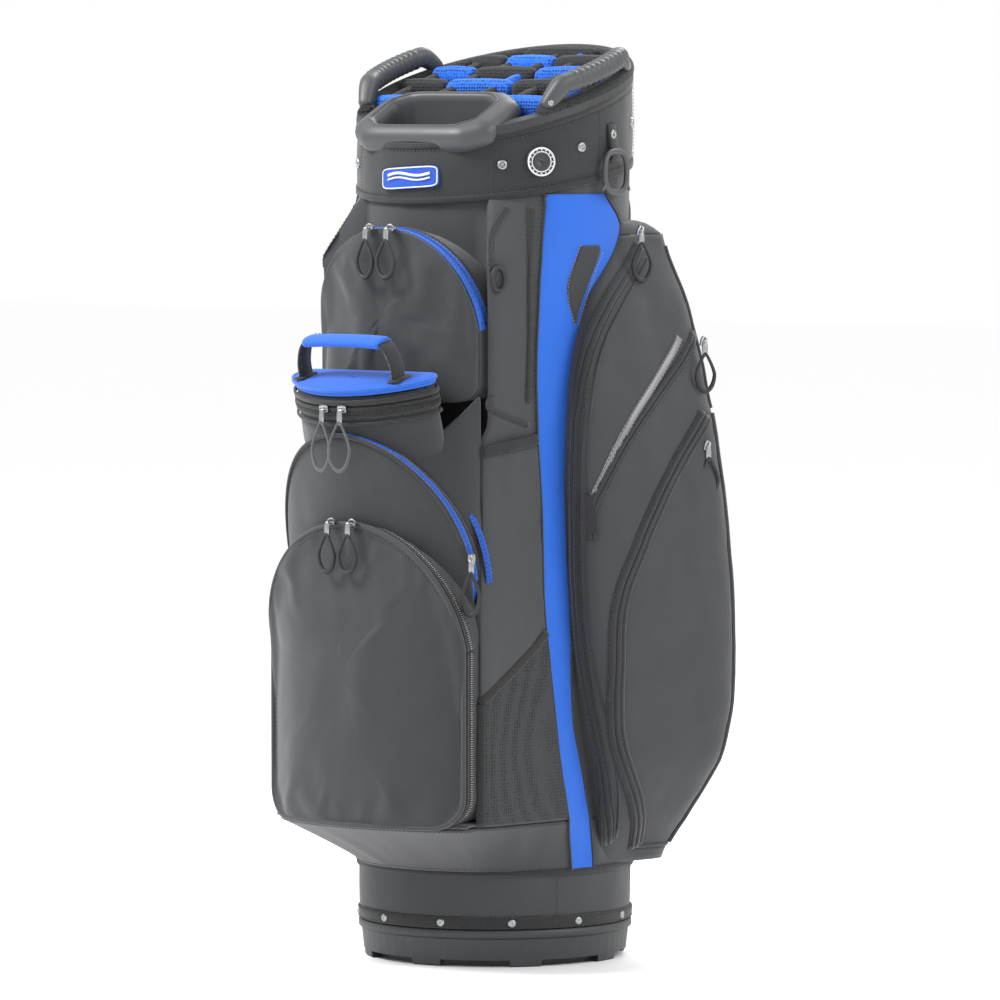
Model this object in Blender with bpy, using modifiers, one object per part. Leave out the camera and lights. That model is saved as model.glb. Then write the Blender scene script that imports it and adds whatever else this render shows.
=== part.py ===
"""Golf cart bag: moulded base, club barrel with a 14-way top, zip pockets and a removable cooler.

Metres, +Z up. The origin is the centre of the pad under the base. The front of the bag, with the
putter well, the cooler and the ball pocket, faces -Y, and +X is to the right seen from the front.
"""
import bpy
import bmesh
from math import sin, cos, asin, acos, pi, radians, sqrt, tan
from mathutils import Matrix, Vector



def beside_barrel(*offsets):
    """An outline from points given by their distance past the barrel's side and their place along Y."""
    return tuple((BARREL_R + out, y) for out, y in offsets)


# Clearances and walls
GAP = 0.0003              # between pieces that touch
WALL = 0.003              # sewn fabric with its lining and foam

# Club barrel and base
BARREL_R = 0.134          # outside of the fabric body cover
COVER_THICK = 0.0037
LINER_THICK = 0.003
BASE_R = BARREL_R + 0.0005
BASE_HEIGHT = 0.038
BASE_FLOOR = 0.008
BASE_PAD_R = 0.045
FOOT_COUNT = 8
FOOT_WIDTH = 0.035
FOOT_HEIGHT = 0.011
FOOT_PHASE = radians(6.5)
BAND_HEIGHT = 0.012
SLEEVE_THICK = 0.0025
SKIRT_BOTTOM = 0.095
SKIRT_TOP = 0.1465

# Collar, cut by planes that rise towards the back
CUFF_THICK = 0.0035
CUFF_LOW_SLOPE = 0.164
CUFF_TOP = 0.8555         # height of each plane on the bag's axis
CUFF_LOW = CUFF_TOP - 0.0779
CUFF_TOP_SLOPE = 0.31
OVER_RIM = CUFF_TOP + 0.1445     # above every part of the slanted rim
RING_HEIGHT = 0.009
RING_INNER_R = BARREL_R - 0.0115

# Divider top: rows of club slots behind the putter well
DIVIDER_THICK = 0.030
DIVIDER_BAR = 0.009
DIVIDER_ROWS = ((-0.0445, 0.0070, 4), (0.0070, 0.0465, 4), (0.0465, 0.0830, 4), (0.0830, 0.1110, 2))
SHEET_THICK = 0.0016
SHEET_TOP = CUFF_LOW + 0.0074
STAY_R = 0.003
STAY_X = RING_INNER_R - GAP

# Putter well
WELL_Y = -(BARREL_R - 0.036)
WELL_Z = CUFF_TOP - 0.0095
WELL_TILT = radians(27)
WELL_LIP = (0.085, 0.047)     # half width and half depth over the lip
WELL_CUP = (0.064, 0.032)     # half width and half depth outside the cup
WELL_LIP_HEIGHT = 0.017
WELL_DEPTH = 0.140
WELL_WALL = 0.003

# Lift handles
HANDLE_R = 0.0095
HANDLE_ARC_R = BARREL_R - 0.003
HANDLE_FROM = radians(60)
HANDLE_TO = radians(116)
HANDLE_RISE = 0.018

# Ball pocket: a zip-off panel on a gusset
BALL_HALF_WIDTH = BARREL_R - 0.0135
BALL_BOTTOM = 0.1470
BALL_TOP = 0.443
BALL_CORNER = 0.030
BALL_SIDE_Y = -(BARREL_R + 0.0685)
BALL_APEX_Y = BALL_SIDE_Y - 0.0335
BALL_CENTRE_Y = BALL_APEX_Y - 0.011

# Top pocket
TOP_HALF_WIDTH = BARREL_R - 0.037
TOP_BOTTOM = 0.562
TOP_TOP = CUFF_LOW - 0.0476
TOP_CORNER = 0.020
TOP_SIDE_Y = -(BARREL_R + 0.018)
TOP_APEX_Y = TOP_SIDE_Y - 0.024
TOP_CENTRE_Y = TOP_APEX_Y - 0.005

# Removable cooler and its pocket
COOLER_Y = -(BARREL_R - 0.0296)        # centre of the front arc, at the cooler's floor
COOLER_Z = 0.370
COOLER_TILT = radians(14)
COOLER_FRONT_R = 0.100
COOLER_HALF_WIDTH = 0.085
COOLER_CORNER = 0.015
COOLER_HEIGHT = 0.228
COOLER_WALL = 0.005
LID_THICK = 0.008
COOLER_FIT = 0.0015       # between the cooler and its pocket
FLAP_HALF_WIDTH = BALL_HALF_WIDTH - 0.0125
FLAP_TOP = 0.530
CARRY_HALF = 0.058
CARRY_RISE = 0.036
CARRY_CORD_R = 0.0035
CARRY_GRIP_R = 0.0085

# Side pockets
SIDE_BOTTOM = 0.095
SIDE_TOP = CUFF_LOW - 0.0536
SIDE_BACK_Y = 0.095
SIDE_PLAN = beside_barrel((0.0030, -0.058), (0.0410, -0.055), (0.0810, 0.020), (0.0910, 0.095),
                          (-0.0290, 0.122))
SIDE_INNER_X = BARREL_R - 0.004
DOOR_LOW = 0.185
DOOR_HIGH = 0.530
DOOR_FRONT_Y = -0.036
DOOR_BACK_Y = 0.089
DOOR_CORNER = 0.045

# Sleeve and mesh pockets, between the ball pocket and the side pockets
MESH_TOP = 0.325
MESH_FLOOR = 0.155
SLEEVE_TOP = 0.520
SLEEVE_FLOOR = 0.405
POCKET_SKIN = 0.0018
POCKET_LOW_PLAN = beside_barrel((-0.0125, -0.185), (0.0045, -0.070))
SLEEVE_FOOT_PLAN = beside_barrel((-0.0210, -0.185), (-0.0040, -0.070))
POCKET_HIGH_PLAN = beside_barrel((-0.0340, -0.155), (-0.0100, -0.078))

# Shoulders of the cover, beside the top pocket
SHOULDER_PLAN = beside_barrel((-0.0290, -0.146), (-0.0080, -0.076))
SHOULDER_FOOT = 0.536
SHOULDER_TURN = CUFF_LOW - 0.0806
SHOULDER_TOP = CUFF_LOW - 0.0356

# Back panel and shoulder strap
BACK_HALF_WIDTH = 0.070
BACK_Y = BARREL_R + 0.016
BACK_LOW = 0.1470
BACK_HIGH = CUFF_LOW - 0.0076
STRAP_HALF_WIDTH = 0.025
STRAP_THICK = 0.010
STRAP_SAG = 0.028

# Trim
BADGE_SIZE = (0.070, 0.022, 0.0020)
BADGE_Z = CUFF_LOW + 0.0024
MEDALLION_R = 0.015
MEDALLION_ANGLE = radians(57)
MEDALLION_Z = CUFF_LOW + 0.0184
TOWEL_ANGLE = radians(94)
TOWEL_R = 0.021
TOWEL_WIRE_R = 0.0030
TOWEL_TOP = CUFF_LOW + 0.0284
GROMMET_SHARE = 0.16      # along the shoulder's outer side, from the top pocket
GROMMET_Z = SHOULDER_TURN - 0.015

# Zip sliders and pulls
SLIDER = (0.008, 0.0035, 0.010)
PULL_HALF_WIDTH = 0.0075
PULL_LENGTH = 0.046
PULL_R = 0.0016
SLIDER_STANDOFF = 0.0075
PULL_STANDOFF = 0.0130
SLIDER_SPACING = 0.0130   # each of a pair, from the centre line

BODY_COLOUR = (0.058, 0.060, 0.066)
PANEL_COLOUR = (0.038, 0.042, 0.046)
BLACK = (0.018, 0.019, 0.020)
MOULDED = (0.085, 0.088, 0.093)
BLUE = (0.013, 0.16, 0.68)
STEEL = (0.45, 0.46, 0.47)


# ---------------------------------------------------------------- scene and materials
def clear_scene():
    """Empty the scene, so that only the bag is in it."""
    for item in list(bpy.data.objects):
        bpy.data.objects.remove(item, do_unlink=True)


def collection(name):
    """Make a collection in the scene."""
    made = bpy.data.collections.new(name)
    bpy.context.scene.collection.children.link(made)
    return made


def material(name, colour, roughness, metallic=0.0):
    """Make a Principled material."""
    made = bpy.data.materials.new(name)
    made.use_nodes = True
    shader = made.node_tree.nodes["Principled BSDF"]
    shader.inputs["Base Color"].default_value = (*colour, 1.0)
    shader.inputs["Roughness"].default_value = roughness
    shader.inputs["Metallic"].default_value = metallic
    return made


clear_scene()
BAG = collection("golf_cart_bag")
CUTTERS = collection("cutters")
FABRIC = material("body_fabric", BODY_COLOUR, 0.85)
PANEL = material("panel_fabric", PANEL_COLOUR, 0.85)
DARK = material("black_fabric", BLACK, 0.9)
MESH = material("black_mesh", BLACK, 0.8)
PLASTIC = material("moulded_plastic", MOULDED, 0.5)
LINER = material("liner_plastic", BLACK, 0.6)
ACCENT = material("accent_fabric", BLUE, 0.7)
METAL = material("zip_metal", STEEL, 0.35, 1.0)
RUBBER = material("rubber", BLACK, 0.7)


# ---------------------------------------------------------------- modelling helpers
def adopt(item, name, finish):
    """Name a new object, give it a material and put it among the parts."""
    item.name = name
    item.data.name = name
    item.data.materials.clear()
    item.data.materials.append(finish)
    for owner in list(item.users_collection):
        owner.objects.unlink(item)
    BAG.objects.link(item)
    return item


def as_cutter(item, name):
    """Put a new object among the hidden cutting shapes."""
    item.name = name
    for owner in list(item.users_collection):
        owner.objects.unlink(item)
    CUTTERS.objects.link(item)
    item.hide_render = True
    item.display_type = "WIRE"
    return item


def object_from(bm, name):
    """Turn a bmesh into an object with outward faces."""
    bmesh.ops.recalc_face_normals(bm, faces=bm.faces)
    data = bpy.data.meshes.new(name)
    bm.to_mesh(data)
    bm.free()
    item = bpy.data.objects.new(name, data)
    bpy.context.scene.collection.objects.link(item)
    return item


def boolean(item, cutter, operation="DIFFERENCE"):
    """Cut an object by another, or keep what they share."""
    step = item.modifiers.new(operation.lower() + "_" + cutter.name, "BOOLEAN")
    step.operation = operation
    step.object = cutter
    step.solver = "EXACT"


def baked(item):
    """Replace an object by the mesh that its modifiers or its curve make, in world space."""
    bpy.context.view_layer.update()
    evaluated = item.evaluated_get(bpy.context.evaluated_depsgraph_get())
    data = bpy.data.meshes.new_from_object(evaluated)
    data.transform(item.matrix_world)
    bm = bmesh.new()
    bm.from_mesh(data)
    bmesh.ops.remove_doubles(bm, verts=bm.verts, dist=0.00001)
    name = item.name
    bpy.data.objects.remove(item, do_unlink=True)
    bpy.data.meshes.remove(data)
    return object_from(bm, name)


def turned(name, profile, steps=64):
    """Turn a closed (radius, height) profile about the Z axis."""
    bm = bmesh.new()
    corners = [bm.verts.new((radius, 0.0, height)) for radius, height in profile]
    for first, second in zip(corners, corners[1:] + corners[:1]):
        if first.co.x > 0.0 or second.co.x > 0.0:
            bm.edges.new((first, second))
    data = bpy.data.meshes.new(name)
    bm.to_mesh(data)
    bm.free()
    item = bpy.data.objects.new(name, data)
    bpy.context.scene.collection.objects.link(item)
    screw = item.modifiers.new("turn", "SCREW")
    screw.steps = steps
    screw.render_steps = steps
    screw.use_merge_vertices = True
    screw.merge_threshold = 0.00005
    return baked(item)


def tube(name, outer, inner, low, high):
    """A plain round tube."""
    return turned(name, ((inner, high), (outer, high), (outer, low), (inner, low)))


def plate(name, loops, low, high, along="Z"):
    """A flat outline, with any holes as further loops, extruded from low to high along Z, Y or X."""
    curve = bpy.data.curves.new(name, "CURVE")
    curve.dimensions = "2D"
    curve.fill_mode = "BOTH"
    curve.extrude = abs(high - low) / 2
    for loop in loops:
        spline = curve.splines.new("POLY")
        spline.points.add(len(loop) - 1)
        for point, (across, up) in zip(spline.points, loop):
            point.co = (across, up, 0.0, 1.0)
        spline.use_cyclic_u = True
    item = bpy.data.objects.new(name, curve)
    bpy.context.scene.collection.objects.link(item)
    middle = (low + high) / 2
    if along == "Z":
        item.matrix_world = Matrix.Translation((0.0, 0.0, middle))
    elif along == "Y":
        item.matrix_world = Matrix.Translation((0.0, middle, 0.0)) @ Matrix.Rotation(pi / 2, 4, "X")
    else:
        turn = Matrix(((0, 0, 1, 0), (1, 0, 0, 0), (0, 1, 0, 0), (0, 0, 0, 1)))
        item.matrix_world = Matrix.Translation((middle, 0.0, 0.0)) @ turn
    return baked(item)


def box(name, low, high):
    """A box between two corners."""
    bpy.ops.mesh.primitive_cube_add(size=1.0)
    item = bpy.context.object
    low, high = Vector(low), Vector(high)
    item.data.transform(Matrix.Translation((low + high) / 2) @ Matrix.Diagonal((*(high - low), 1.0)))
    item.name = name
    return item


def wire(name, points, radius, cyclic=False, radii=None, resolution=2):
    """A round bar or cord along points, with filled ends."""
    curve = bpy.data.curves.new(name, "CURVE")
    curve.dimensions = "3D"
    curve.bevel_depth = radius
    curve.bevel_resolution = resolution
    curve.use_fill_caps = True
    spline = curve.splines.new("POLY")
    spline.points.add(len(points) - 1)
    for index, place in enumerate(points):
        spline.points[index].co = (*place, 1.0)
        spline.points[index].radius = radii[index] if radii else 1.0
    spline.use_cyclic_u = cyclic
    item = bpy.data.objects.new(name, curve)
    bpy.context.scene.collection.objects.link(item)
    return baked(item)


def lofted(name, rings):
    """A closed body from rings of points, all with the same number of points, capped at both ends."""
    bm = bmesh.new()
    rows = [[bm.verts.new(point) for point in ring] for ring in rings]
    count = len(rings[0])
    for lower, upper in zip(rows, rows[1:]):
        for index in range(count):
            after = (index + 1) % count
            bm.faces.new((lower[index], lower[after], upper[after], upper[index]))
    bm.faces.new(rows[0])
    bm.faces.new(rows[-1])
    return object_from(bm, name)


def arc(centre, radius, start, end, steps):
    """Points on a circle, from one angle to another."""
    return [(centre[0] + radius * cos(start + (end - start) * k / steps),
             centre[1] + radius * sin(start + (end - start) * k / steps)) for k in range(steps + 1)]


def smooth_value(points, at):
    """Read a smooth curve through (place, value) points."""
    if at <= points[0][0]:
        return points[0][1]
    if at >= points[-1][0]:
        return points[-1][1]
    for (low, first), (high, second) in zip(points, points[1:]):
        if low <= at <= high:
            share = (at - low) / (high - low)
            share = share * share * (3 - 2 * share)
            return first + (second - first) * share
    return points[-1][1]


def mirrored(item, name):
    """A left-hand copy of a right-hand piece."""
    bm = bmesh.new()
    bm.from_mesh(item.data)
    bmesh.ops.transform(bm, matrix=Matrix.Diagonal((-1.0, 1.0, 1.0, 1.0)), verts=bm.verts)
    return object_from(bm, name)


# ---------------------------------------------------------------- shared shapes
def sloped_half(name, height, slope, above):
    """A cutter for everything above, or below, a plane that rises towards the back."""
    reach = 0.6
    side = reach if above else -reach
    outline = [(-reach, height - slope * reach), (reach, height + slope * reach),
               (reach, height + slope * reach + side), (-reach, height - slope * reach + side)]
    return as_cutter(plate(name, [outline], -reach, reach, "X"), name)


def barrel_envelope(name, margin=GAP):
    """The barrel as a cutter, a little larger than the barrel."""
    bpy.ops.mesh.primitive_cylinder_add(vertices=64, radius=BARREL_R + margin, depth=1.4,
                                        location=(0.0, 0.0, 0.5))
    return as_cutter(baked(bpy.context.object), name)


def well_frame():
    """The putter well's own frame, with Z out of its mouth."""
    return Matrix.Translation((0.0, WELL_Y, WELL_Z)) @ Matrix.Rotation(WELL_TILT, 4, "X")


def well_outline(half_width, half_depth):
    """An octagon with long sides and cut corners."""
    cut = 0.42 * half_depth
    wide = 1.35 * cut
    return [(half_width - wide, -half_depth), (half_width, -half_depth + cut),
            (half_width, half_depth - cut), (half_width - wide, half_depth),
            (-half_width + wide, half_depth), (-half_width, half_depth - cut),
            (-half_width, -half_depth + cut), (-half_width + wide, -half_depth)]


def well_rings(levels):
    """Rings of the putter well from (half width, half depth, height) levels, all square to its tilted
    mouth; below the lip the cup drops straight down."""
    frame = well_frame()
    rings = []
    for wide, deep, z in levels:
        drop = Vector((0.0, 0.0, min(0.0, z + WELL_LIP_HEIGHT)))
        seat = max(z, -WELL_LIP_HEIGHT)
        rings.append([frame @ Vector((x, y, seat)) + drop for x, y in well_outline(wide, deep)])
    return rings


def cooler_frame():
    """The cooler's own frame: Z up its front arc's axis, which leans forward."""
    return Matrix.Translation((0.0, COOLER_Y, COOLER_Z)) @ Matrix.Rotation(COOLER_TILT, 4, "X")


def cooler_outline(offset=0.0, steps=18):
    """The cooler's plan: a round front, tight corners and a flat back."""
    front = COOLER_FRONT_R + offset
    corner = COOLER_CORNER + offset
    reach = COOLER_FRONT_R - COOLER_CORNER
    swing = asin((COOLER_HALF_WIDTH - COOLER_CORNER) / reach)
    side_x, side_y = reach * sin(swing), -reach * cos(swing)
    points = arc((0.0, 0.0), front, -pi / 2 - swing, -pi / 2 + swing, steps)
    points += arc((side_x, side_y), corner, -pi / 2 + swing, pi / 2, 6)[1:]
    points += arc((-side_x, side_y), corner, pi / 2, 3 * pi / 2 - swing, 6)[:-1]
    return points


def cooler_back():
    """How far behind the front arc's centre line the cooler's flat back is, as a negative Y."""
    return max(y for _, y in cooler_outline())


def cooler_prism(name, offset, low, high, scale_back=0.0):
    """The cooler's outline extruded along its own axis; scale_back extends it towards the barrel."""
    outline = cooler_outline(offset)
    if scale_back:
        edge = cooler_back() - COOLER_CORNER
        outline = [(x, y if y < edge else y + scale_back) for x, y in outline]
    item = plate(name, [outline], low, high)
    item.data.transform(cooler_frame())
    return item


def arch_outline(half_width, bottom, top, corner, steps=20):
    """A front view: round top, straight sides and rounded bottom corners, from the right foot round."""
    centre = top - half_width
    points = arc((0.0, centre), half_width, 0.0, pi, steps)
    if corner:
        points += arc((-half_width + corner, bottom + corner), corner, pi, 3 * pi / 2, 4)
        points += arc((half_width - corner, bottom + corner), corner, 3 * pi / 2, 2 * pi, 4)
    else:
        points += [(-half_width, bottom), (half_width, bottom)]
    return points


def zip_line_y(x, z, shape):
    """How far forward a pocket's edge is: a leaning plane over the arch, round below it."""
    half_width, bottom, top, side_y, apex_y = shape
    centre = top - half_width
    if z >= centre:
        return side_y + (apex_y - side_y) * (z - centre) / half_width
    drop = (centre - z) / (centre - bottom)
    return side_y + (apex_y - side_y) * (1 - (x / half_width) ** 2) * drop ** 2


def solidified(item, thickness, inward=True):
    """Give an open surface a thickness."""
    step = item.modifiers.new("thickness", "SOLIDIFY")
    step.thickness = thickness
    step.offset = -1.0 if inward else 1.0
    step.use_even_offset = True
    return baked(item)


def crowned_panel(name, outline, shape, centre_y, thickness, rings=4):
    """A pocket front: its edge follows the zip line and its middle stands forward."""
    bm = bmesh.new()
    bottom, top = shape[1], shape[2]
    middle = (bottom + top) / 2
    rows = []
    for ring in range(rings, 0, -1):
        share = ring / rings
        row = []
        for x, z in outline:
            edge = zip_line_y(x, z, shape)
            depth = centre_y + (edge - centre_y) * share ** 2
            row.append(bm.verts.new((x * share, depth, middle + (z - middle) * share)))
        rows.append(row)
    hub = bm.verts.new((0.0, centre_y, middle))
    count = len(outline)
    for outer, inner in zip(rows, rows[1:]):
        for index in range(count):
            after = (index + 1) % count
            bm.faces.new((outer[index], outer[after], inner[after], inner[index]))
    for index in range(count):
        bm.faces.new((rows[-1][index], rows[-1][(index + 1) % count], hub))
    item = object_from(bm, name)
    facing_front(item)
    return solidified(item, thickness)


def facing_front(item):
    """Point an open surface's faces towards -Y."""
    total = sum((face.normal * face.area for face in item.data.polygons), Vector())
    if total.y > 0.0:
        item.data.flip_normals()


def gusset(name, outline, shape, back_y, setback):
    """The wall round a pocket, from just behind its panel's edge back into the barrel."""
    across, upright = 1 - WALL / shape[0], 1 - 2 * WALL / (shape[2] - shape[1])
    inner = [(x * across, shape[1] + WALL + (z - shape[1]) * upright)
             for x, z in outline]
    bm = bmesh.new()
    rows = []
    for loop, is_front in ((outline, True), (outline, False), (inner, False), (inner, True)):
        row = []
        for (x, z), (edge_x, edge_z) in zip(loop, outline):
            depth = zip_line_y(edge_x, edge_z, shape) + setback if is_front else back_y
            row.append(bm.verts.new((x, depth, z)))
        rows.append(row)
    count = len(outline)
    for first, second in zip(rows, rows[1:] + rows[:1]):
        for index in range(count):
            after = (index + 1) % count
            bm.faces.new((first[index], first[after], second[after], second[index]))
    return object_from(bm, name)


def around(angle, radius, height):
    """A place round the bag: the angle runs from the front towards +X."""
    return Vector((radius * sin(angle), -radius * cos(angle), height))


def facing_out(angle):
    """A frame whose X runs round the bag, Y is up and Z faces out at this angle."""
    out = around(angle, 1.0, 0.0)
    side = around(angle + pi / 2, 1.0, 0.0)
    return Matrix(((side.x, 0, out.x, 0), (side.y, 0, out.y, 0), (0, 1, 0, 0), (0, 0, 0, 1)))


def rim_height(y):
    """The height of the collar's top edge at a distance behind the axis."""
    return CUFF_TOP + CUFF_TOP_SLOPE * y


BALL_SHAPE = (BALL_HALF_WIDTH, BALL_BOTTOM, BALL_TOP, BALL_SIDE_Y, BALL_APEX_Y)
TOP_SHAPE = (TOP_HALF_WIDTH, TOP_BOTTOM, TOP_TOP, TOP_SIDE_Y, TOP_APEX_Y)
COVER_INNER = BARREL_R - COVER_THICK
LINER_OUTER = COVER_INNER - GAP
LINER_INNER = LINER_OUTER - LINER_THICK
CUFF_INNER = COVER_INNER
CUFF_OUTER = BARREL_R + CUFF_THICK

BARREL = barrel_envelope("barrel_cutter")
WELL_CUTTER = as_cutter(lofted("well_cutter", well_rings((
    (WELL_LIP[0] + GAP, WELL_LIP[1] + GAP, 0.08),
    (WELL_LIP[0] + GAP, WELL_LIP[1] + GAP, -WELL_LIP_HEIGHT - GAP),
    (WELL_CUP[0] + GAP, WELL_CUP[1] + GAP, -WELL_LIP_HEIGHT - 2 * GAP),
    (WELL_CUP[0] + GAP, WELL_CUP[1] + GAP, -WELL_DEPTH - GAP)))), "well_cutter")
WELL_MOUTH = as_cutter(box("well_mouth", (-WELL_LIP[0] - GAP, WELL_Y - 0.102, WELL_Z - 0.146),
                           (WELL_LIP[0] + GAP, WELL_Y, OVER_RIM)),
                       "well_mouth")
COOLER_CUTTER = as_cutter(cooler_prism("cooler_cutter", COOLER_FIT + WALL + GAP, -WALL - 3 * GAP, 0.5, 0.12),
                          "cooler_cutter")


# ---------------------------------------------------------------- base
def make_base():
    """The moulded cup with its feet, the band round it and the fabric sleeve above."""
    lip = 0.004
    cup = turned("base_cup", (
        (0.0, BASE_FLOOR), (LINER_OUTER + GAP, BASE_FLOOR), (LINER_OUTER + GAP, BASE_HEIGHT),
        (BASE_R, BASE_HEIGHT), (BASE_R + 0.0012, BASE_HEIGHT - 0.002), (BASE_R + 0.0012, BASE_HEIGHT - lip),
        (BASE_R, BASE_HEIGHT - lip - 0.0015), (BASE_R - 0.0035, 0.002), (BASE_R - 0.0050, 0.0),
        (BASE_R - 0.018, 0.0), (BASE_R - 0.024, FOOT_HEIGHT / 3), (BASE_PAD_R + 0.004, FOOT_HEIGHT / 3),
        (BASE_PAD_R, 0.0), (0.0, 0.0)))
    adopt(cup, "base_cup", PLASTIC)
    notch_angle = 2 * pi / FOOT_COUNT - FOOT_WIDTH / BASE_R
    half = BASE_R * sin(notch_angle / 2)
    notches = bmesh.new()
    for foot in range(FOOT_COUNT):
        middle = FOOT_PHASE + (foot + 0.5) * 2 * pi / FOOT_COUNT
        made = bmesh.ops.create_cube(notches, size=1.0)["verts"]
        bmesh.ops.transform(notches, verts=made, matrix=(
            Matrix.Rotation(middle - pi / 2, 4, "Z") @ Matrix.Translation((BASE_R + 0.0025, 0.0, 0.0))
            @ Matrix.Diagonal((0.042, 2 * half, 2 * FOOT_HEIGHT * 0.62, 1.0))))
    boolean(cup, as_cutter(object_from(notches, "foot_notches"), "foot_notches"))
    band_top = BASE_HEIGHT + GAP + BAND_HEIGHT
    adopt(tube("base_band", BARREL_R + SLEEVE_THICK, LINER_OUTER + GAP, BASE_HEIGHT + GAP, band_top),
          "base_band", DARK)
    adopt(tube("base_sleeve", BARREL_R + SLEEVE_THICK, BARREL_R + GAP, band_top + GAP, SKIRT_BOTTOM - GAP),
          "base_sleeve", DARK)
    return band_top


def make_barrel(band_top):
    """The plastic liner, the fabric cover, the stays and the full-length dividers."""
    form = tube("barrel_liner", LINER_OUTER, LINER_INNER, BASE_FLOOR + GAP, OVER_RIM)
    liner = adopt(form, "barrel_liner", LINER)
    boolean(liner, sloped_half("above_liner", CUFF_TOP - GAP, CUFF_TOP_SLOPE, True))
    boolean(liner, WELL_CUTTER)
    cover = adopt(turned("body_cover", ((0.0, OVER_RIM), (BARREL_R, OVER_RIM), (BARREL_R, band_top + GAP),
                                        (0.0, band_top + GAP))), "body_cover", FABRIC)
    for shoulder in shoulder_blocks():
        boolean(cover, shoulder, "UNION")
    bore_top = OVER_RIM + 0.1
    bore = turned("cover_bore", ((0.0, bore_top), (COVER_INNER, bore_top), (COVER_INNER, 0.0), (0.0, 0.0)))
    boolean(cover, as_cutter(bore, "cover_bore"))
    boolean(cover, sloped_half("above_cover", CUFF_LOW - GAP, CUFF_LOW_SLOPE, True))
    for name, side in (("stay_left", -1), ("stay_right", 1)):
        bpy.ops.mesh.primitive_cylinder_add(vertices=12, radius=STAY_R, depth=SHEET_TOP - BASE_FLOOR - 0.02,
                                            location=(side * STAY_X, -0.012, (SHEET_TOP + BASE_FLOOR) / 2))
        adopt(bpy.context.object, name, LINER)
    for index, (_, back, _) in enumerate(DIVIDER_ROWS[:3]):
        half = sqrt(LINER_INNER ** 2 - (abs(back) + SHEET_THICK) ** 2) - 0.002
        sheet = box("divider_sheet", (-half, back - SHEET_THICK / 2, BASE_FLOOR + GAP),
                    (half, back + SHEET_THICK / 2, SHEET_TOP))
        adopt(sheet, "divider_sheet_%d" % (index + 1), MESH)


def shoulder_blocks():
    """The cover's padded shoulders, beside the top pocket, as shapes to join to the barrel."""
    top_edge = arch_outline(TOP_HALF_WIDTH + GAP, 0.45, TOP_TOP + GAP, 0.0)
    top_cutter = as_cutter(plate("top_cutter", [top_edge], -0.4, 0.0, "Y"), "top_cutter")
    (front_x, front_y), (back_x, back_y) = SHOULDER_PLAN
    low = [(front_x, front_y), (back_x, back_y), (0.110, -0.040), (0.060, -0.060), (0.040, -0.110)]
    high = [(front_x * 0.84, front_y * 0.84), (back_x * 0.95, back_y * 0.95), *low[2:]]
    levels = ((SHOULDER_FOOT, low), (SHOULDER_TURN, low), (SHOULDER_TOP, high))
    right = lofted("shoulder_right", [[(x, y, z) for x, y in plan] for z, plan in levels])
    boolean(right, top_cutter)
    right = as_cutter(baked(right), "shoulder_right")
    return right, as_cutter(mirrored(right, "shoulder_left"), "shoulder_left")


def skirt_block(name, margin=0.0):
    """The skirt's outer form: a circle at its foot and the pockets' plan at its top."""
    low, high = [], []
    for step in range(72):
        angle = 2 * pi * step / 72
        low.append(around(angle, BARREL_R + SLEEVE_THICK + margin, SKIRT_BOTTOM - margin))
        high.append(around(angle, skirt_reach(angle) + margin, SKIRT_TOP + margin))
    return lofted(name, (low, high))


def make_skirt():
    """The fabric that flares from the base sleeve to the foot of the pockets."""
    boolean(adopt(skirt_block("skirt"), "skirt", FABRIC), BARREL)


def skirt_reach(angle):
    """How far the skirt's top edge stands from the axis at an angle from the front."""
    turn = abs((angle + pi) % (2 * pi) - pi)
    corner_x, corner_y = BALL_HALF_WIDTH, BALL_SIDE_Y
    corner = side_angle(corner_x, -corner_y)
    back_x, back_y = POCKET_LOW_PLAN[1]
    side = side_angle(back_x, -back_y)
    if turn <= corner:
        rise = 1 - (tan(turn) * -corner_y / corner_x) ** 2
        return (-corner_y + (corner_y - BALL_APEX_Y) * rise) / cos(turn)
    if turn <= side:
        across = Vector((back_x - corner_x, back_y - corner_y))
        ray = Vector((sin(turn), -cos(turn)))
        return (corner_x * across.y - corner_y * across.x) / (ray.x * across.y - ray.y * across.x)
    return BARREL_R + 2 * SLEEVE_THICK


def side_angle(across, forward):
    """The angle from the front of a place, given its distances to the side and forward."""
    return acos(forward / sqrt(across ** 2 + forward ** 2))


# ---------------------------------------------------------------- collar
def make_collar():
    """The fabric cuff and the moulded ring on the barrel's slanted rim."""
    cuff = tube("collar_cuff", CUFF_OUTER, CUFF_INNER, CUFF_LOW - 0.0776, OVER_RIM)
    adopt(cuff, "collar_cuff", DARK)
    boolean(cuff, sloped_half("below_cuff", CUFF_LOW, CUFF_LOW_SLOPE, False))
    boolean(cuff, sloped_half("above_cuff", CUFF_TOP - GAP, CUFF_TOP_SLOPE, True))
    boolean(cuff, WELL_CUTTER)
    ring = tube("collar_ring", CUFF_OUTER + 0.001, RING_INNER_R, CUFF_LOW + 0.0024, OVER_RIM)
    adopt(ring, "collar_ring", PLASTIC)
    boolean(ring, sloped_half("below_ring", CUFF_TOP, CUFF_TOP_SLOPE, False))
    boolean(ring, sloped_half("above_ring", CUFF_TOP + RING_HEIGHT, CUFF_TOP_SLOPE, True))
    boolean(ring, WELL_CUTTER)
    boolean(ring, WELL_MOUTH)


def slot_boxes():
    """The club slots as (low x, low y, high x, high y), row by row."""
    slots = []
    limit = RING_INNER_R - GAP - DIVIDER_BAR * 0.8
    for front, back, count in DIVIDER_ROWS:
        half = sqrt(limit ** 2 - max(abs(front), abs(back)) ** 2)
        width = 2 * half / count
        for index in range(count):
            left = -half + index * width + DIVIDER_BAR / 2
            slots.append((left, front + DIVIDER_BAR / 2, left + width - DIVIDER_BAR, back - DIVIDER_BAR / 2))
    return slots


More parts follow.
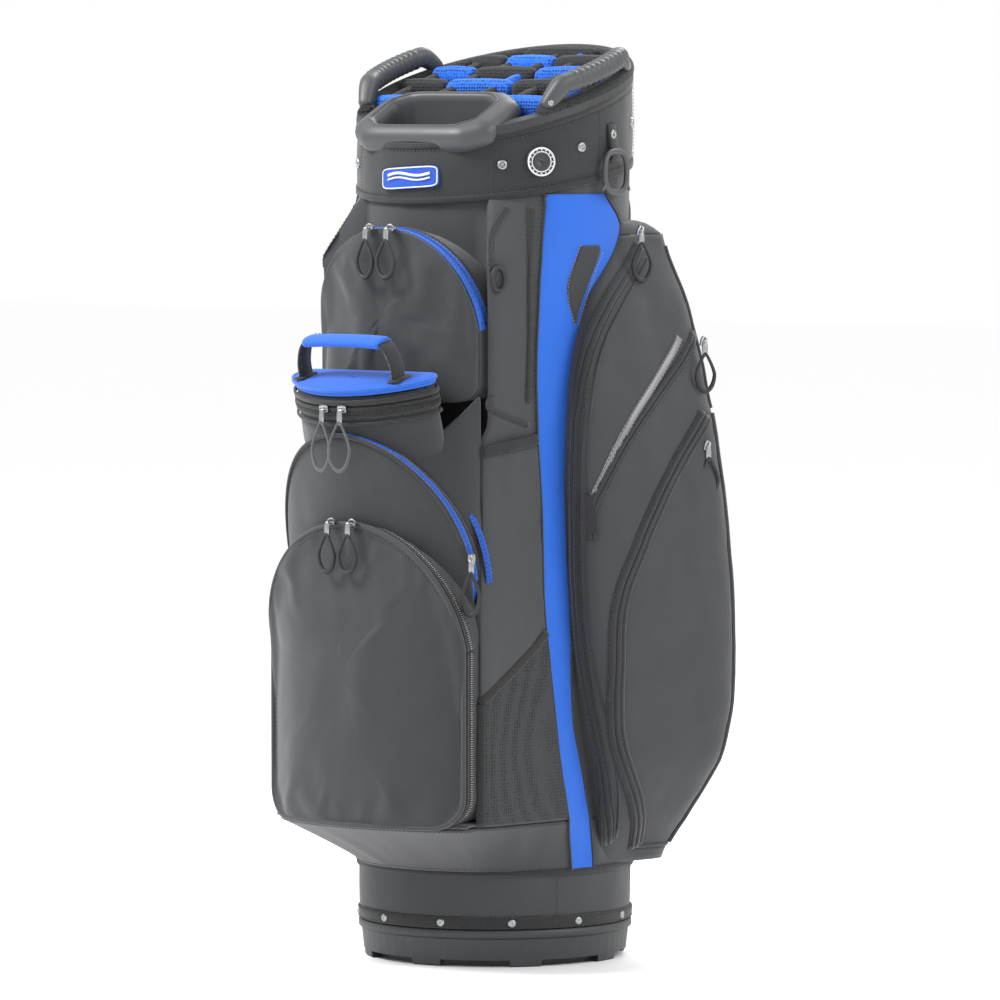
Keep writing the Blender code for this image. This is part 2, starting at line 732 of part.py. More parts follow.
def make_divider_top():
    """The padded grid that keeps each club apart."""
    bpy.ops.mesh.primitive_cylinder_add(vertices=64, radius=RING_INNER_R - GAP, depth=0.4,
                                        location=(0.0, 0.0, CUFF_TOP))
    top = adopt(bpy.context.object, "divider_top", MESH)
    upper = CUFF_TOP + RING_HEIGHT
    boolean(top, sloped_half("above_dividers", upper, CUFF_TOP_SLOPE, True))
    boolean(top, sloped_half("below_dividers", upper - DIVIDER_THICK, CUFF_TOP_SLOPE, False))
    boolean(top, WELL_CUTTER)
    boolean(top, WELL_MOUTH)
    slots = bmesh.new()
    for left, front, right, back in slot_boxes():
        made = bmesh.ops.create_cube(slots, size=1.0)["verts"]
        place = Matrix.Translation(((left + right) / 2, (front + back) / 2, CUFF_TOP))
        bmesh.ops.transform(slots, verts=made, matrix=(
            place @ Matrix.Diagonal((right - left, back - front, 0.5, 1.0))))
    boolean(top, as_cutter(object_from(slots, "club_slots"), "club_slots"))


def make_well():
    """The moulded cup that the putter stands in."""
    lip_in = WELL_CUP[0] - WELL_WALL, WELL_CUP[1] - WELL_WALL
    well = lofted("putter_well", well_rings((
        (lip_in[0], lip_in[1], -WELL_DEPTH + WELL_WALL), (lip_in[0], lip_in[1], -0.006),
        (lip_in[0] + 0.006, lip_in[1] + 0.004, 0.0), (WELL_LIP[0] - 0.004, WELL_LIP[1] - 0.003, 0.0),
        (WELL_LIP[0], WELL_LIP[1], -0.005), (WELL_LIP[0], WELL_LIP[1], -WELL_LIP_HEIGHT),
        (WELL_CUP[0], WELL_CUP[1], -WELL_LIP_HEIGHT), (WELL_CUP[0], WELL_CUP[1], -WELL_DEPTH))))
    adopt(well, "putter_well", PLASTIC)


def make_lift_handles():
    """A moulded bar over the rim on each side, with a hand gap under it."""
    steps = 12
    points, radii = [], []
    for step in range(steps + 1):
        share = step / steps
        angle = HANDLE_FROM + (HANDLE_TO - HANDLE_FROM) * share
        rise = HANDLE_RISE * min(1.0, sin(pi * share) * 2.2)
        place = around(angle, HANDLE_ARC_R, 0.0)
        seat = rim_height(place.y) + RING_HEIGHT + GAP
        points.append((place.x, place.y, seat + 0.004 + rise))
        radii.append(0.36 if step in (0, steps) else 1.0)
    right = wire("lift_handle_right", points, HANDLE_R, radii=radii, resolution=3)
    left = mirrored(right, "lift_handle_left")
    adopt(right, "lift_handle_right", PLASTIC)
    adopt(left, "lift_handle_left", PLASTIC)
    seat_cut = sloped_half("handle_seat", CUFF_TOP + RING_HEIGHT + GAP, CUFF_TOP_SLOPE, False)
    for item in (right, left):
        boolean(item, seat_cut)


# ---------------------------------------------------------------- front pockets and cooler
def make_zip_pocket(name, shape, centre_y, corner, extra_cutter=None):
    """A gusset sewn to the barrel and the zipped panel in front of it."""
    outline = arch_outline(shape[0], shape[1], shape[2], corner)
    panel = crowned_panel(name + "_panel", outline, shape, centre_y, WALL)
    adopt(panel, name + "_panel", PANEL)
    wall = adopt(gusset(name + "_gusset", outline, shape, -0.05, WALL + GAP), name + "_gusset", FABRIC)
    boolean(wall, BARREL)
    if extra_cutter:
        boolean(wall, extra_cutter)


def make_cooler_pocket():
    """The pocket that the cooler stands in, with its arched front flap."""
    outer = COOLER_FIT + WALL
    pocket = adopt(cooler_prism("cooler_pocket", outer, -WALL - GAP, 0.30, 0.10), "cooler_pocket", PANEL)
    boolean(pocket, as_cutter(cooler_prism("cooler_cavity", COOLER_FIT, -GAP, 0.40, 0.13), "cooler_cavity"))
    arch = arch_outline(FLAP_HALF_WIDTH, BALL_BOTTOM, FLAP_TOP, 0.0)
    boolean(pocket, as_cutter(plate("flap_arch", [arch], -0.4, 0.1, "Y"), "flap_arch"), "INTERSECT")
    boolean(pocket, BARREL)


def make_cooler():
    """The insulated pouch, its zipped lid and the carry handle on the lid."""
    body = adopt(cooler_prism("cooler_body", 0.0, 0.0, COOLER_HEIGHT), "cooler_body", PANEL)
    boolean(body, as_cutter(cooler_prism("cooler_inside", -COOLER_WALL, COOLER_WALL, 0.4), "cooler_inside"))
    lid_low = COOLER_HEIGHT + GAP
    adopt(cooler_prism("cooler_lid", 0.0, lid_low, lid_low + LID_THICK), "cooler_lid", ACCENT)
    handle_y = (cooler_back() - COOLER_FRONT_R) / 2
    base = lid_low + LID_THICK + CARRY_CORD_R + GAP
    points = [(-CARRY_HALF, 0.0), (-CARRY_HALF * 0.97, 0.014), (-CARRY_HALF * 0.88, 0.028),
              (-CARRY_HALF * 0.72, CARRY_RISE), (-CARRY_HALF * 0.62, CARRY_RISE)]
    points += [(0.0, CARRY_RISE)] + [(-x, z) for x, z in reversed(points)]
    grip = CARRY_GRIP_R / CARRY_CORD_R
    radii = [1, 1, 1, 1, grip, grip, grip, 1, 1, 1, 1]
    frame = cooler_frame()
    places = [frame @ Vector((x, handle_y, base + z)) for x, z in points]
    adopt(wire("cooler_handle", places, CARRY_CORD_R, radii=radii), "cooler_handle", DARK)


# ---------------------------------------------------------------- side pockets
def side_share(z):
    """How full a side pocket is at a height, from its widest section."""
    return smooth_value(((SIDE_BOTTOM, 0.06), (0.150, 0.46), (0.205, 0.84), (0.285, 1.0),
                         (0.420, 0.94), (0.550, 0.72), (0.650, 0.42), (SIDE_TOP, 0.08)), z)


def side_front(z):
    """How far forward a side pocket reaches at a height, from its longest section."""
    return smooth_value(((SIDE_BOTTOM, 0.62), (0.300, 0.95), (0.450, 1.0), (0.580, 0.96),
                         (0.660, 0.78), (SIDE_TOP, 0.42)), z)


def side_ring(z, inset=0.0, skin=0.0):
    """A side pocket's plan at a height; inset moves every side in, skin moves the outer side in."""
    points = []
    for index, (x, y) in enumerate(SIDE_PLAN):
        outward = (x - SIDE_INNER_X) * side_share(z)
        back = (y - SIDE_BACK_Y) * side_front(z) if y < SIDE_BACK_Y else y - SIDE_BACK_Y
        points.append([SIDE_INNER_X + outward if x > SIDE_INNER_X else x, SIDE_BACK_Y + back])
    points[0][1] += inset
    points[1][1] += inset
    points[1][0] -= skin
    points[2][0] -= skin * 1.12
    points[3][0] -= skin * 1.02
    points[3][1] -= inset
    points[4][1] -= inset
    return [(x, y, z) for x, y in points] + [(0.070, 0.070, z), (0.098, -0.030, z)]


def side_block(name, inset=0.0, skin=0.0, levels=24):
    """A side pocket's solid form."""
    low, high = SIDE_BOTTOM + inset, SIDE_TOP - inset
    return lofted(name, [side_ring(low + (high - low) * k / levels, inset, skin) for k in range(levels + 1)])


def door_outline(margin=0.0):
    """The side panel's outline from the side: a rounded rectangle."""
    radius = DOOR_CORNER - margin
    low, high = DOOR_LOW + margin, DOOR_HIGH - margin
    front, back = DOOR_FRONT_Y + margin, DOOR_BACK_Y - margin
    points = arc((back - radius, low + radius), radius, -pi / 2, 0.0, 5)
    points += arc((back - radius, high - radius), radius, 0.0, pi / 2, 5)
    points += arc((front + radius, high - radius), radius, pi / 2, pi, 5)
    points += arc((front + radius, low + radius), radius, pi, 3 * pi / 2, 5)
    return points


def make_side_pockets():
    """A large shaped pocket on each side, with a zipped panel in its outer face."""
    shell = side_block("side_pocket_shell")
    boolean(shell, BARREL)
    boolean(shell, as_cutter(skirt_block("skirt_cutter", 2 * GAP), "skirt_cutter"))
    boolean(shell, as_cutter(side_block("side_inside", 0.004, 0.0035), "side_inside"))
    window = plate("side_window", [door_outline(-GAP)], BARREL_R + 0.016, BARREL_R + 0.166, "X")
    boolean(shell, as_cutter(window, "side_window"))
    shell = baked(shell)
    door = side_block("side_pocket_panel")
    border = plate("door_edge", [door_outline()], BARREL_R + 0.018, BARREL_R + 0.166, "X")
    boolean(door, as_cutter(border, "door_edge"), "INTERSECT")
    boolean(door, as_cutter(side_block("door_back", 0.0, WALL), "door_back"))
    door = baked(door)
    for item, stem, finish in ((shell, "side_pocket_shell", FABRIC), (door, "side_pocket_panel", PANEL)):
        left = mirrored(item, stem + "_left")
        adopt(item, stem + "_right", finish)
        adopt(left, stem + "_left", finish)


def wedge_ring(z, plan, inset=0.0):
    """The plan of a sleeve or mesh pocket: its outer side and a core inside the barrel."""
    (front_x, front_y), (back_x, back_y) = plan
    return [(front_x - inset, front_y + inset, z), (back_x - inset, back_y - 2 * inset, z),
            (0.100, -0.040, z), (0.060, -0.080, z), (0.080, front_y + 0.035 + inset, z)]


def plan_between(low_plan, high_plan, share):
    """A plan part of the way up from one plan to another."""
    return [tuple(low + (high - low) * share for low, high in zip(first, second))
            for first, second in zip(low_plan, high_plan)]


def make_small_pockets():
    """The mesh pocket and, above and inside its mouth, the open-topped sleeve pocket, on each side."""
    edge = arch_outline(BALL_HALF_WIDTH + GAP, BALL_BOTTOM - 0.02, BALL_TOP + GAP, 0.0)
    ball_cutter = as_cutter(plate("ball_cutter", [edge], -0.4, 0.0, "Y"), "ball_cutter")
    pieces = (("mesh_pocket", MESH, SKIRT_TOP + GAP, MESH_TOP, POCKET_LOW_PLAN, POCKET_LOW_PLAN,
               MESH_FLOOR, 0.0085),
              ("sleeve_pocket", FABRIC, MESH_TOP + GAP, SLEEVE_TOP, SLEEVE_FOOT_PLAN, POCKET_HIGH_PLAN,
               SLEEVE_FLOOR, 0.0180))
    for name, finish, start, end, low_plan, high_plan, floor, room in pieces:
        block = lofted(name, [wedge_ring(start, low_plan), wedge_ring(end, high_plan)])
        rings = []
        for height in (floor, end + 0.01):
            share = (height - start) / (end - start)
            rings.append(hollow_ring(height, plan_between(low_plan, high_plan, share), room))
        boolean(block, ball_cutter)
        boolean(block, COOLER_CUTTER)
        boolean(block, BARREL)
        boolean(block, as_cutter(lofted(name + "_inside", rings), name + "_inside"))
        block = baked(block)
        left = mirrored(block, name + "_left")
        adopt(block, name + "_right", finish)
        adopt(left, name + "_left", finish)


def hollow_ring(z, plan, room):
    """The open space just behind a small pocket's outer side, a little short of both its ends."""
    front, back = (Vector(place) for place in plan)
    along = (back - front).normalized()
    out = Vector((along.y, -along.x))
    near = front.lerp(back, 0.42) - out * POCKET_SKIN
    far = front.lerp(back, 0.93) - out * POCKET_SKIN
    return [(*place, z) for place in (near, far, far - out * room, near - out * room)]


# ---------------------------------------------------------------- back
def make_back():
    """The padded back panel, the shoulder strap and the strap's two anchors."""
    pad = adopt(box("back_pad", (-BACK_HALF_WIDTH, 0.06, BACK_LOW), (BACK_HALF_WIDTH, BACK_Y, BACK_HIGH)),
                "back_pad", DARK)
    boolean(pad, BARREL)
    side = as_cutter(side_block("pad_side", -0.0005), "pad_side")
    other = as_cutter(mirrored(side, "pad_other_side"), "pad_other_side")
    boolean(pad, side)
    boolean(pad, other)
    start, end, steps = 0.290, 0.735, 20
    inner, outer = [], []
    for step in range(steps + 1):
        share = step / steps
        out = STRAP_SAG * sin(pi * share) ** 0.8 if 0 < share < 1 else 0.0
        height = start + (end - start) * share
        inner.append((BACK_Y + 0.0055 + out, height))
        outer.append((BACK_Y + 0.0055 + STRAP_THICK + out, height))
    strap = plate("shoulder_strap", [inner + outer[::-1]], -STRAP_HALF_WIDTH, STRAP_HALF_WIDTH, "X")
    adopt(strap, "shoulder_strap", DARK)
    for name, height in (("strap_anchor_lower", start), ("strap_anchor_upper", end)):
        anchor = box(name, (-0.030, BACK_Y + GAP, height - 0.012), (0.030, BACK_Y + 0.0052, height + 0.012))
        adopt(anchor, name, METAL)


# ---------------------------------------------------------------- trim
def make_trim():
    """The badge, medallion, grommet, towel ring and its tab."""
    badge = adopt(tube("front_badge", CUFF_OUTER + GAP + BADGE_SIZE[2], CUFF_OUTER + GAP,
                       BADGE_Z - BADGE_SIZE[1] / 2, BADGE_Z + BADGE_SIZE[1] / 2), "front_badge", ACCENT)
    half = BADGE_SIZE[0] / 2
    span = box("badge_span", (-half, -CUFF_OUTER - 0.06, BADGE_Z - 0.08), (half, 0.0, BADGE_Z + 0.12))
    span = as_cutter(span, "badge_span")
    boolean(badge, span, "INTERSECT")
    disc = BARREL_R + CUFF_THICK + MEDALLION_R ** 2 / (2 * CUFF_OUTER) + 2 * GAP
    bpy.ops.mesh.primitive_cylinder_add(vertices=32, radius=MEDALLION_R, depth=0.003)
    medallion = bpy.context.object
    medallion.data.transform(Matrix.Translation(around(MEDALLION_ANGLE, disc + 0.0015, MEDALLION_Z))
                             @ facing_out(MEDALLION_ANGLE))
    adopt(medallion, "medallion", PLASTIC)
    rim = [(0.0075 * cos(a), 0.0135 * sin(a)) for a in (2 * pi * k / 24 for k in range(24))]
    hole = [(0.0035 * cos(a), 0.0095 * sin(a)) for a in (2 * pi * k / 24 for k in range(24))]
    grommet = plate("grommet", [rim, hole], 0.0, 0.003)
    grommet.data.transform(grommet_frame())
    adopt(grommet, "grommet", RUBBER)
    tab = box("towel_tab", (-0.007, -0.014, 0.0), (0.007, 0.016, 0.0025))
    tab.data.transform(Matrix.Translation(around(TOWEL_ANGLE, CUFF_OUTER + 2 * GAP, TOWEL_TOP + 0.006))
                       @ facing_out(TOWEL_ANGLE))
    adopt(tab, "towel_tab", DARK)
    bpy.ops.mesh.primitive_torus_add(major_radius=TOWEL_R, minor_radius=TOWEL_WIRE_R, major_segments=32,
                                     minor_segments=8)
    ring = bpy.context.object
    ring.data.transform(Matrix.Translation(around(TOWEL_ANGLE, towel_distance(), TOWEL_TOP - TOWEL_R))
                        @ facing_out(TOWEL_ANGLE))
    adopt(ring, "towel_ring", PLASTIC)


def grommet_frame():
    """The grommet's seat on the right shoulder, with Z facing out."""
    front, back = (Vector((*place, 0.0)) for place in SHOULDER_PLAN)
    along = (back - front).normalized()
    out = Vector((along.y, -along.x, 0.0))
    place = front.lerp(back, GROMMET_SHARE) + out * GAP
    return Matrix(((along.x, 0, out.x, place.x), (along.y, 0, out.y, place.y),
                   (0, 1, 0, GROMMET_Z), (0, 0, 0, 1)))


def towel_distance():
    """How far from the bag's axis the towel ring hangs."""
    return CUFF_OUTER + 0.0035 + TOWEL_WIRE_R + GAP


# ---------------------------------------------------------------- zips
def slider_body(name, place, frame):
    """A zip slider: a small block with its nose along the zip."""
    item = box(name, [-size / 2 for size in SLIDER], [size / 2 for size in SLIDER])
    item.data.transform(Matrix.Translation(place) @ frame)
    return item


def pull_loop(name, top, frame, length=PULL_LENGTH, half_width=PULL_HALF_WIDTH):
    """A tab and cord loop hanging from a point: one closed ring, in the frame's XZ plane."""
    points = []
    for across, down in arc((0.0, 0.0), 1.0, 0.0, 2 * pi, 16)[:-1]:
        narrow = 1.0 if down < 0 else 0.55 + 0.45 * (1 - down)
        place = Vector((half_width * across * narrow, 0.0, -length / 2 + length / 2 * down))
        points.append(top + frame @ place)
    return wire(name, points, PULL_R, cyclic=True)


def arch_zip(stem, shape):
    """Two sliders at the top of an arch, each with a pull that hangs from it."""
    half_width, _, top, side_y, apex_y = shape
    lean = asin((apex_y - side_y) / half_width)
    for name, side in (("right", 1), ("left", -1)):
        angle = side * SLIDER_SPACING / half_width
        drop = half_width * (1 - cos(angle))
        place = Vector((half_width * sin(angle), apex_y - SLIDER_STANDOFF, top - drop))
        slider = slider_body(stem + "_slider_" + name, place, Matrix.Rotation(-lean, 4, "X"))
        adopt(slider, stem + "_slider_" + name, METAL)
        hang = Vector((place.x, apex_y - PULL_STANDOFF, place.z))
        adopt(pull_loop(stem + "_pull_" + name, hang, Matrix.Identity(3)), stem + "_pull_" + name, RUBBER)


def cooler_zip():
    """Two sliders side by side on the cooler's zip, with long cord pulls, each in one piece."""
    frame = cooler_frame()
    height = COOLER_HEIGHT - 0.012
    for name, side in (("right", 1), ("left", -1)):
        angle = side * 0.0105 / COOLER_FRONT_R
        reach = COOLER_FRONT_R + 0.0065
        top = Vector((reach * sin(angle), -reach * cos(angle), height))
        slider = pull_loop("cooler_slider_" + name, frame @ top, frame.to_3x3(), 0.062, 0.0075)
        adopt(slider, "cooler_slider_" + name, METAL)


def side_zip_places():
    """Where each side slider's pull hangs from, and its height."""
    return (("main", Vector((BARREL_R + 0.0220, 0.0350, SIDE_TOP + 0.001))),
            ("valuables", Vector((BARREL_R + 0.0670, 0.0800, 0.615))),
            ("pocket", Vector((BARREL_R + 0.0790, 0.0700, 0.512))))


def make_zips():
    """All sliders and pulls."""
    arch_zip("ball", BALL_SHAPE)
    arch_zip("top", TOP_SHAPE)
    cooler_zip()
    pocket_end = Vector((BARREL_R - 0.0095, BALL_SIDE_Y + 0.0055, 0.408))
    adopt(pull_loop("cooler_pocket_slider", pocket_end, Matrix.Identity(3), 0.050),
          "cooler_pocket_slider", METAL)
    turn = Matrix.Rotation(radians(80), 3, "Z")
    for name, place in side_zip_places():
        right = pull_loop("side_slider", place, turn)
        left = mirrored(right, name + "_slider_left")
        adopt(right, name + "_slider_right", METAL)
        adopt(left, name + "_slider_left", METAL)


# ---------------------------------------------------------------- the bag
make_barrel(make_base())
make_skirt()
make_collar()
make_divider_top()
make_well()
make_lift_handles()
make_zip_pocket("ball_pocket", BALL_SHAPE, BALL_CENTRE_Y, BALL_CORNER, COOLER_CUTTER)
make_zip_pocket("top_pocket", TOP_SHAPE, TOP_CENTRE_Y, TOP_CORNER)
make_cooler_pocket()
make_cooler()
make_side_pockets()
make_small_pockets()
make_back()
make_trim()
make_zips()
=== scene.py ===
"""Golf cart bag: the looks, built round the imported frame. Metres, +Z up, front towards -Y."""
from math import sin, cos, tan, asin, atan2, pi, radians, sqrt, hypot

import bpy
from mathutils import Matrix, Vector, noise


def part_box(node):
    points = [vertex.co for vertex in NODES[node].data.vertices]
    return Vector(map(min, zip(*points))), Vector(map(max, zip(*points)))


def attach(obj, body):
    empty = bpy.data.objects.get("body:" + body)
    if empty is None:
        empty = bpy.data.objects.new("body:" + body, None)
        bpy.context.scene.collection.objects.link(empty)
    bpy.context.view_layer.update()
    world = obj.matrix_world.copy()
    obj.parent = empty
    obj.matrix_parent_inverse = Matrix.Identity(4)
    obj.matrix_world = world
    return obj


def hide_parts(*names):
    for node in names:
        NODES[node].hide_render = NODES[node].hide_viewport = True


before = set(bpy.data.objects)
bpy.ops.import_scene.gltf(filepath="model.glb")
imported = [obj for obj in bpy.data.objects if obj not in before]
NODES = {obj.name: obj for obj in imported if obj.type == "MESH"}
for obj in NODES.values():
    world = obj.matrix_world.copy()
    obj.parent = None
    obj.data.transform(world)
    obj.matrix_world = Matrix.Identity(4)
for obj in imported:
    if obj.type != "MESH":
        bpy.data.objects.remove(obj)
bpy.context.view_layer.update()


# ---------------------------------------------------------------- camera, light and floor
VIEW_AZIMUTH = radians(38)
VIEW_DISTANCE = 8.0
VIEW_HEIGHT = 0.910
AIM = Vector((0.0, 0.0, 0.4555))
LENS = 288.0


def add_camera():
    """The camera, a long way off to the front right."""
    data = bpy.data.cameras.new("camera")
    data.lens = LENS
    data.sensor_width = 36.0
    camera = bpy.data.objects.new("camera", data)
    bpy.context.scene.collection.objects.link(camera)
    side = Vector((cos(VIEW_AZIMUTH), sin(VIEW_AZIMUTH), 0.0))
    aim = AIM + side * 0.005
    camera.location = aim + Vector((sin(VIEW_AZIMUTH), -cos(VIEW_AZIMUTH), 0.0)) * VIEW_DISTANCE
    camera.location.z = VIEW_HEIGHT
    camera.rotation_euler = (aim - camera.location).to_track_quat("-Z", "Y").to_euler()
    bpy.context.scene.camera = camera


def add_light(name, azimuth, elevation, distance, size, power):
    """A square soft light aimed at the bag; the azimuth runs from the front towards +X."""
    data = bpy.data.lights.new(name, "AREA")
    data.shape = "SQUARE"
    data.size = size
    data.energy = power
    lamp = bpy.data.objects.new(name, data)
    bpy.context.scene.collection.objects.link(lamp)
    a, e = radians(azimuth), radians(elevation)
    lamp.location = Vector((sin(a) * cos(e), -cos(a) * cos(e), sin(e))) * distance + Vector((0, 0, 0.45))
    lamp.rotation_euler = (Vector((0, 0, 0.45)) - lamp.location).to_track_quat("-Z", "Y").to_euler()


def add_studio():
    """A pale floor, a pale surround and soft light."""
    bpy.context.scene.view_settings.view_transform = "Standard"
    world = bpy.data.worlds.new("studio")
    bpy.context.scene.world = world
    world.use_nodes = True
    background = world.node_tree.nodes["Background"]
    background.inputs["Color"].default_value = (1.0, 1.0, 1.0, 1.0)
    background.inputs["Strength"].default_value = 1.0
    add_light("key", -35, 48, 3.2, 1.1, 120)
    add_light("fill", 105, 30, 3.4, 1.6, 45)
    add_light("rim", 190, 50, 3.4, 1.6, 60)
    bpy.ops.mesh.primitive_plane_add(size=30.0)
    floor = bpy.context.object
    floor.name = "floor"
    finish = bpy.data.materials.new("floor")
    finish.use_nodes = True
    shader = finish.node_tree.nodes["Principled BSDF"]
    shader.inputs["Base Color"].default_value = (0.98, 0.98, 0.98, 1.0)
    shader.inputs["Roughness"].default_value = 0.8
    floor.data.materials.append(finish)


# ---------------------------------------------------------------- materials
class Nodes:
    """A short way to wire a material's nodes."""

    def __init__(self, name, roughness, metallic=0.0, sheen=0.0, coat=0.0):
        self.material = bpy.data.materials.new(name)
        self.material.use_nodes = True
        self.tree = self.material.node_tree
        self.shader = self.tree.nodes["Principled BSDF"]
        self.shader.inputs["Roughness"].default_value = roughness
        self.shader.inputs["Metallic"].default_value = metallic
        self.shader.inputs["Sheen Weight"].default_value = sheen
        self.shader.inputs["Coat Weight"].default_value = coat
        self.place = self.add("ShaderNodeTexCoord").outputs["Object"]

    def add(self, kind, **inputs):
        """Add a node; its inputs are given by name, with _ for a space."""
        node = self.tree.nodes.new(kind)
        for key, value in inputs.items():
            self.feed(node, key.replace("_", " "), value)
        return node

    def feed(self, node, socket, value):
        """Set an input, or link it when the value is an output."""
        if isinstance(value, bpy.types.NodeSocket):
            self.tree.links.new(value, node.inputs[socket])
        else:
            node.inputs[socket].default_value = value

    def math(self, operation, first, second=0.0):
        """A math node's result."""
        node = self.tree.nodes.new("ShaderNodeMath")
        node.operation = operation
        self.feed(node, 0, first)
        self.feed(node, 1, second)
        return node.outputs[0]

    def bands(self, direction, pitch, distortion=0.0):
        """Stripes across one direction, with their real spacing."""
        node = self.add("ShaderNodeTexWave", Vector=self.place, Scale=0.314159 / pitch,
                        Distortion=distortion)
        node.bands_direction = direction
        return node.outputs["Fac"]

    def grain(self, size, detail=2.0, rough=0.5):
        """Noise whose features are about this size."""
        node = self.add("ShaderNodeTexNoise", Vector=self.place, Scale=1.0 / size, Detail=detail,
                        Roughness=rough)
        return node.outputs["Fac"]

    def tint(self, factor, dark, light):
        """Mix two colours into the base colour by a factor."""
        node = self.tree.nodes.new("ShaderNodeMix")
        node.data_type = "RGBA"
        self.tree.links.new(factor, node.inputs["Factor"])
        node.inputs[6].default_value = (*dark, 1.0)
        node.inputs[7].default_value = (*light, 1.0)
        self.tree.links.new(node.outputs[2], self.shader.inputs["Base Color"])

    def bump(self, height, strength, depth):
        """Raise the surface by a height map."""
        node = self.add("ShaderNodeBump", Height=height, Strength=strength, Distance=depth)
        self.tree.links.new(node.outputs["Normal"], self.shader.inputs["Normal"])

    def vary_roughness(self, factor, low, high):
        """Let the roughness run between two values."""
        node = self.add("ShaderNodeMapRange", Value=factor, To_Min=low, To_Max=high)
        self.tree.links.new(node.outputs[0], self.shader.inputs["Roughness"])


def shade(colour, factor):
    """A colour made lighter or darker."""
    return tuple(min(1.0, part * factor) for part in colour)


def woven(name, colour, pitch=0.0013, contrast=0.22, sheen=0.25, depth=0.00018, rough=0.82):
    """Plain-woven synthetic cloth: threads both ways, slubs and soft wear."""
    kit = Nodes(name, rough, sheen=sheen)
    kit.shader.inputs["Sheen Roughness"].default_value = 0.45
    threads = kit.math("MULTIPLY", kit.bands("Z", pitch, 0.4), kit.bands("DIAGONAL", pitch * 1.6, 0.4))
    slub = kit.grain(0.0030, 3.0, 0.6)
    wear = kit.grain(0.05, 3.0, 0.55)
    mixed = kit.math("ADD", kit.math("MULTIPLY", threads, 0.45), kit.math("MULTIPLY", slub, 0.35))
    mixed = kit.math("ADD", mixed, kit.math("MULTIPLY", wear, 0.35))
    kit.tint(mixed, shade(colour, 1 - contrast), shade(colour, 1 + contrast))
    kit.vary_roughness(wear, rough - 0.08, rough + 0.06)
    kit.bump(kit.math("ADD", threads, kit.math("MULTIPLY", slub, 0.6)), 0.55, depth)
    return kit.material


def webbing(name, colour, pitch=0.0022):
    """Thick ribbed tape."""
    kit = Nodes(name, 0.8, sheen=0.2)
    ribs = kit.math("MULTIPLY", kit.bands("Z", pitch, 0.3), kit.bands("DIAGONAL", pitch * 0.8, 0.3))
    slub = kit.grain(0.002, 2.0)
    kit.tint(kit.math("ADD", kit.math("MULTIPLY", ribs, 0.6), kit.math("MULTIPLY", slub, 0.4)),
             shade(colour, 0.6), shade(colour, 1.5))
    kit.bump(ribs, 0.8, 0.0004)
    return kit.material


def spacer_mesh(name, colour, hole=0.0034, depth=0.0010):
    """Knitted 3-D mesh: a net of small dark holes."""
    kit = Nodes(name, 0.88, sheen=0.05)
    cells = kit.add("ShaderNodeTexVoronoi", Vector=kit.place, Scale=1.0 / hole, Randomness=0.25)
    rim = kit.add("ShaderNodeMapRange", Value=cells.outputs["Distance"], From_Min=0.18,
                  From_Max=0.46).outputs[0]
    kit.tint(rim, shade(colour, 0.12), shade(colour, 1.25))
    kit.bump(rim, 0.9, depth)
    return kit.material


def moulded(name, colour, rough=0.45, grain=0.0009, depth=0.00010):
    """Injection-moulded plastic with a fine spark texture and rubbed patches."""
    kit = Nodes(name, rough)
    fine = kit.grain(grain, 2.0)
    worn = kit.grain(0.03, 3.0)
    kit.tint(kit.math("ADD", kit.math("MULTIPLY", fine, 0.4), kit.math("MULTIPLY", worn, 0.5)),
             shade(colour, 0.86), shade(colour, 1.14))
    kit.vary_roughness(worn, rough - 0.06, rough + 0.10)
    kit.bump(fine, 0.5, depth)
    return kit.material


def metal(name, colour, rough=0.32):
    """Plated zip metal with fine scuffs."""
    kit = Nodes(name, rough, metallic=1.0)
    scuffs = kit.grain(0.0016, 4.0)
    kit.tint(scuffs, shade(colour, 0.75), shade(colour, 1.2))
    kit.vary_roughness(scuffs, rough - 0.08, rough + 0.15)
    kit.bump(scuffs, 0.2, 0.0001)
    return kit.material


def reflective(name, colour):
    """Grey tape with fine glass beads."""
    kit = Nodes(name, 0.38, coat=0.2)
    beads = kit.grain(0.0008, 1.0)
    kit.tint(beads, shade(colour, 0.85), shade(colour, 1.2))
    kit.bump(kit.bands("DIAGONAL", 0.0016), 0.4, 0.0001)
    return kit.material


CHARCOAL = (0.022, 0.024, 0.027)
GREY = (0.033, 0.0345, 0.038)
BLUE = (0.006, 0.098, 0.50)
MOULD = (0.048, 0.050, 0.054)

CLOTH_PANEL = woven("panel_cloth", CHARCOAL)
CLOTH_BODY = woven("body_cloth", GREY, pitch=0.0011)
CLOTH_SIDE = woven("side_cloth", shade(GREY, 0.92), pitch=0.0012)
CLOTH_DARK = woven("dark_cloth", shade(CHARCOAL, 0.7))
CLOTH_BLUE = woven("blue_cloth", BLUE, contrast=0.14, sheen=0.15)
CLOTH_CUFF = woven("cuff_cloth", (0.014, 0.0155, 0.017), pitch=0.0010)
TAPE_BLACK = webbing("black_tape", (0.008, 0.0085, 0.009))
TAPE_BLUE = webbing("blue_tape", BLUE, 0.0016)
PIPING = woven("piping_cloth", shade(GREY, 0.9), pitch=0.0009)
MESH_BLACK = spacer_mesh("black_spacer_mesh", (0.013, 0.014, 0.015))
MESH_BLUE = spacer_mesh("blue_spacer_mesh", BLUE)
NET = spacer_mesh("pocket_net", (0.021, 0.0225, 0.025), 0.0032, 0.0005)
PLASTIC = moulded("grey_moulding", MOULD)
PLASTIC_DARK = moulded("dark_plastic", shade(MOULD, 0.45))
BASE_PLASTIC = moulded("base_plastic", (0.030, 0.0315, 0.034), 0.5)
COIL = moulded("zip_coil", (0.018, 0.019, 0.020), 0.35, 0.0006)
COIL_BLUE = moulded("blue_coil", BLUE, 0.4, 0.0006)
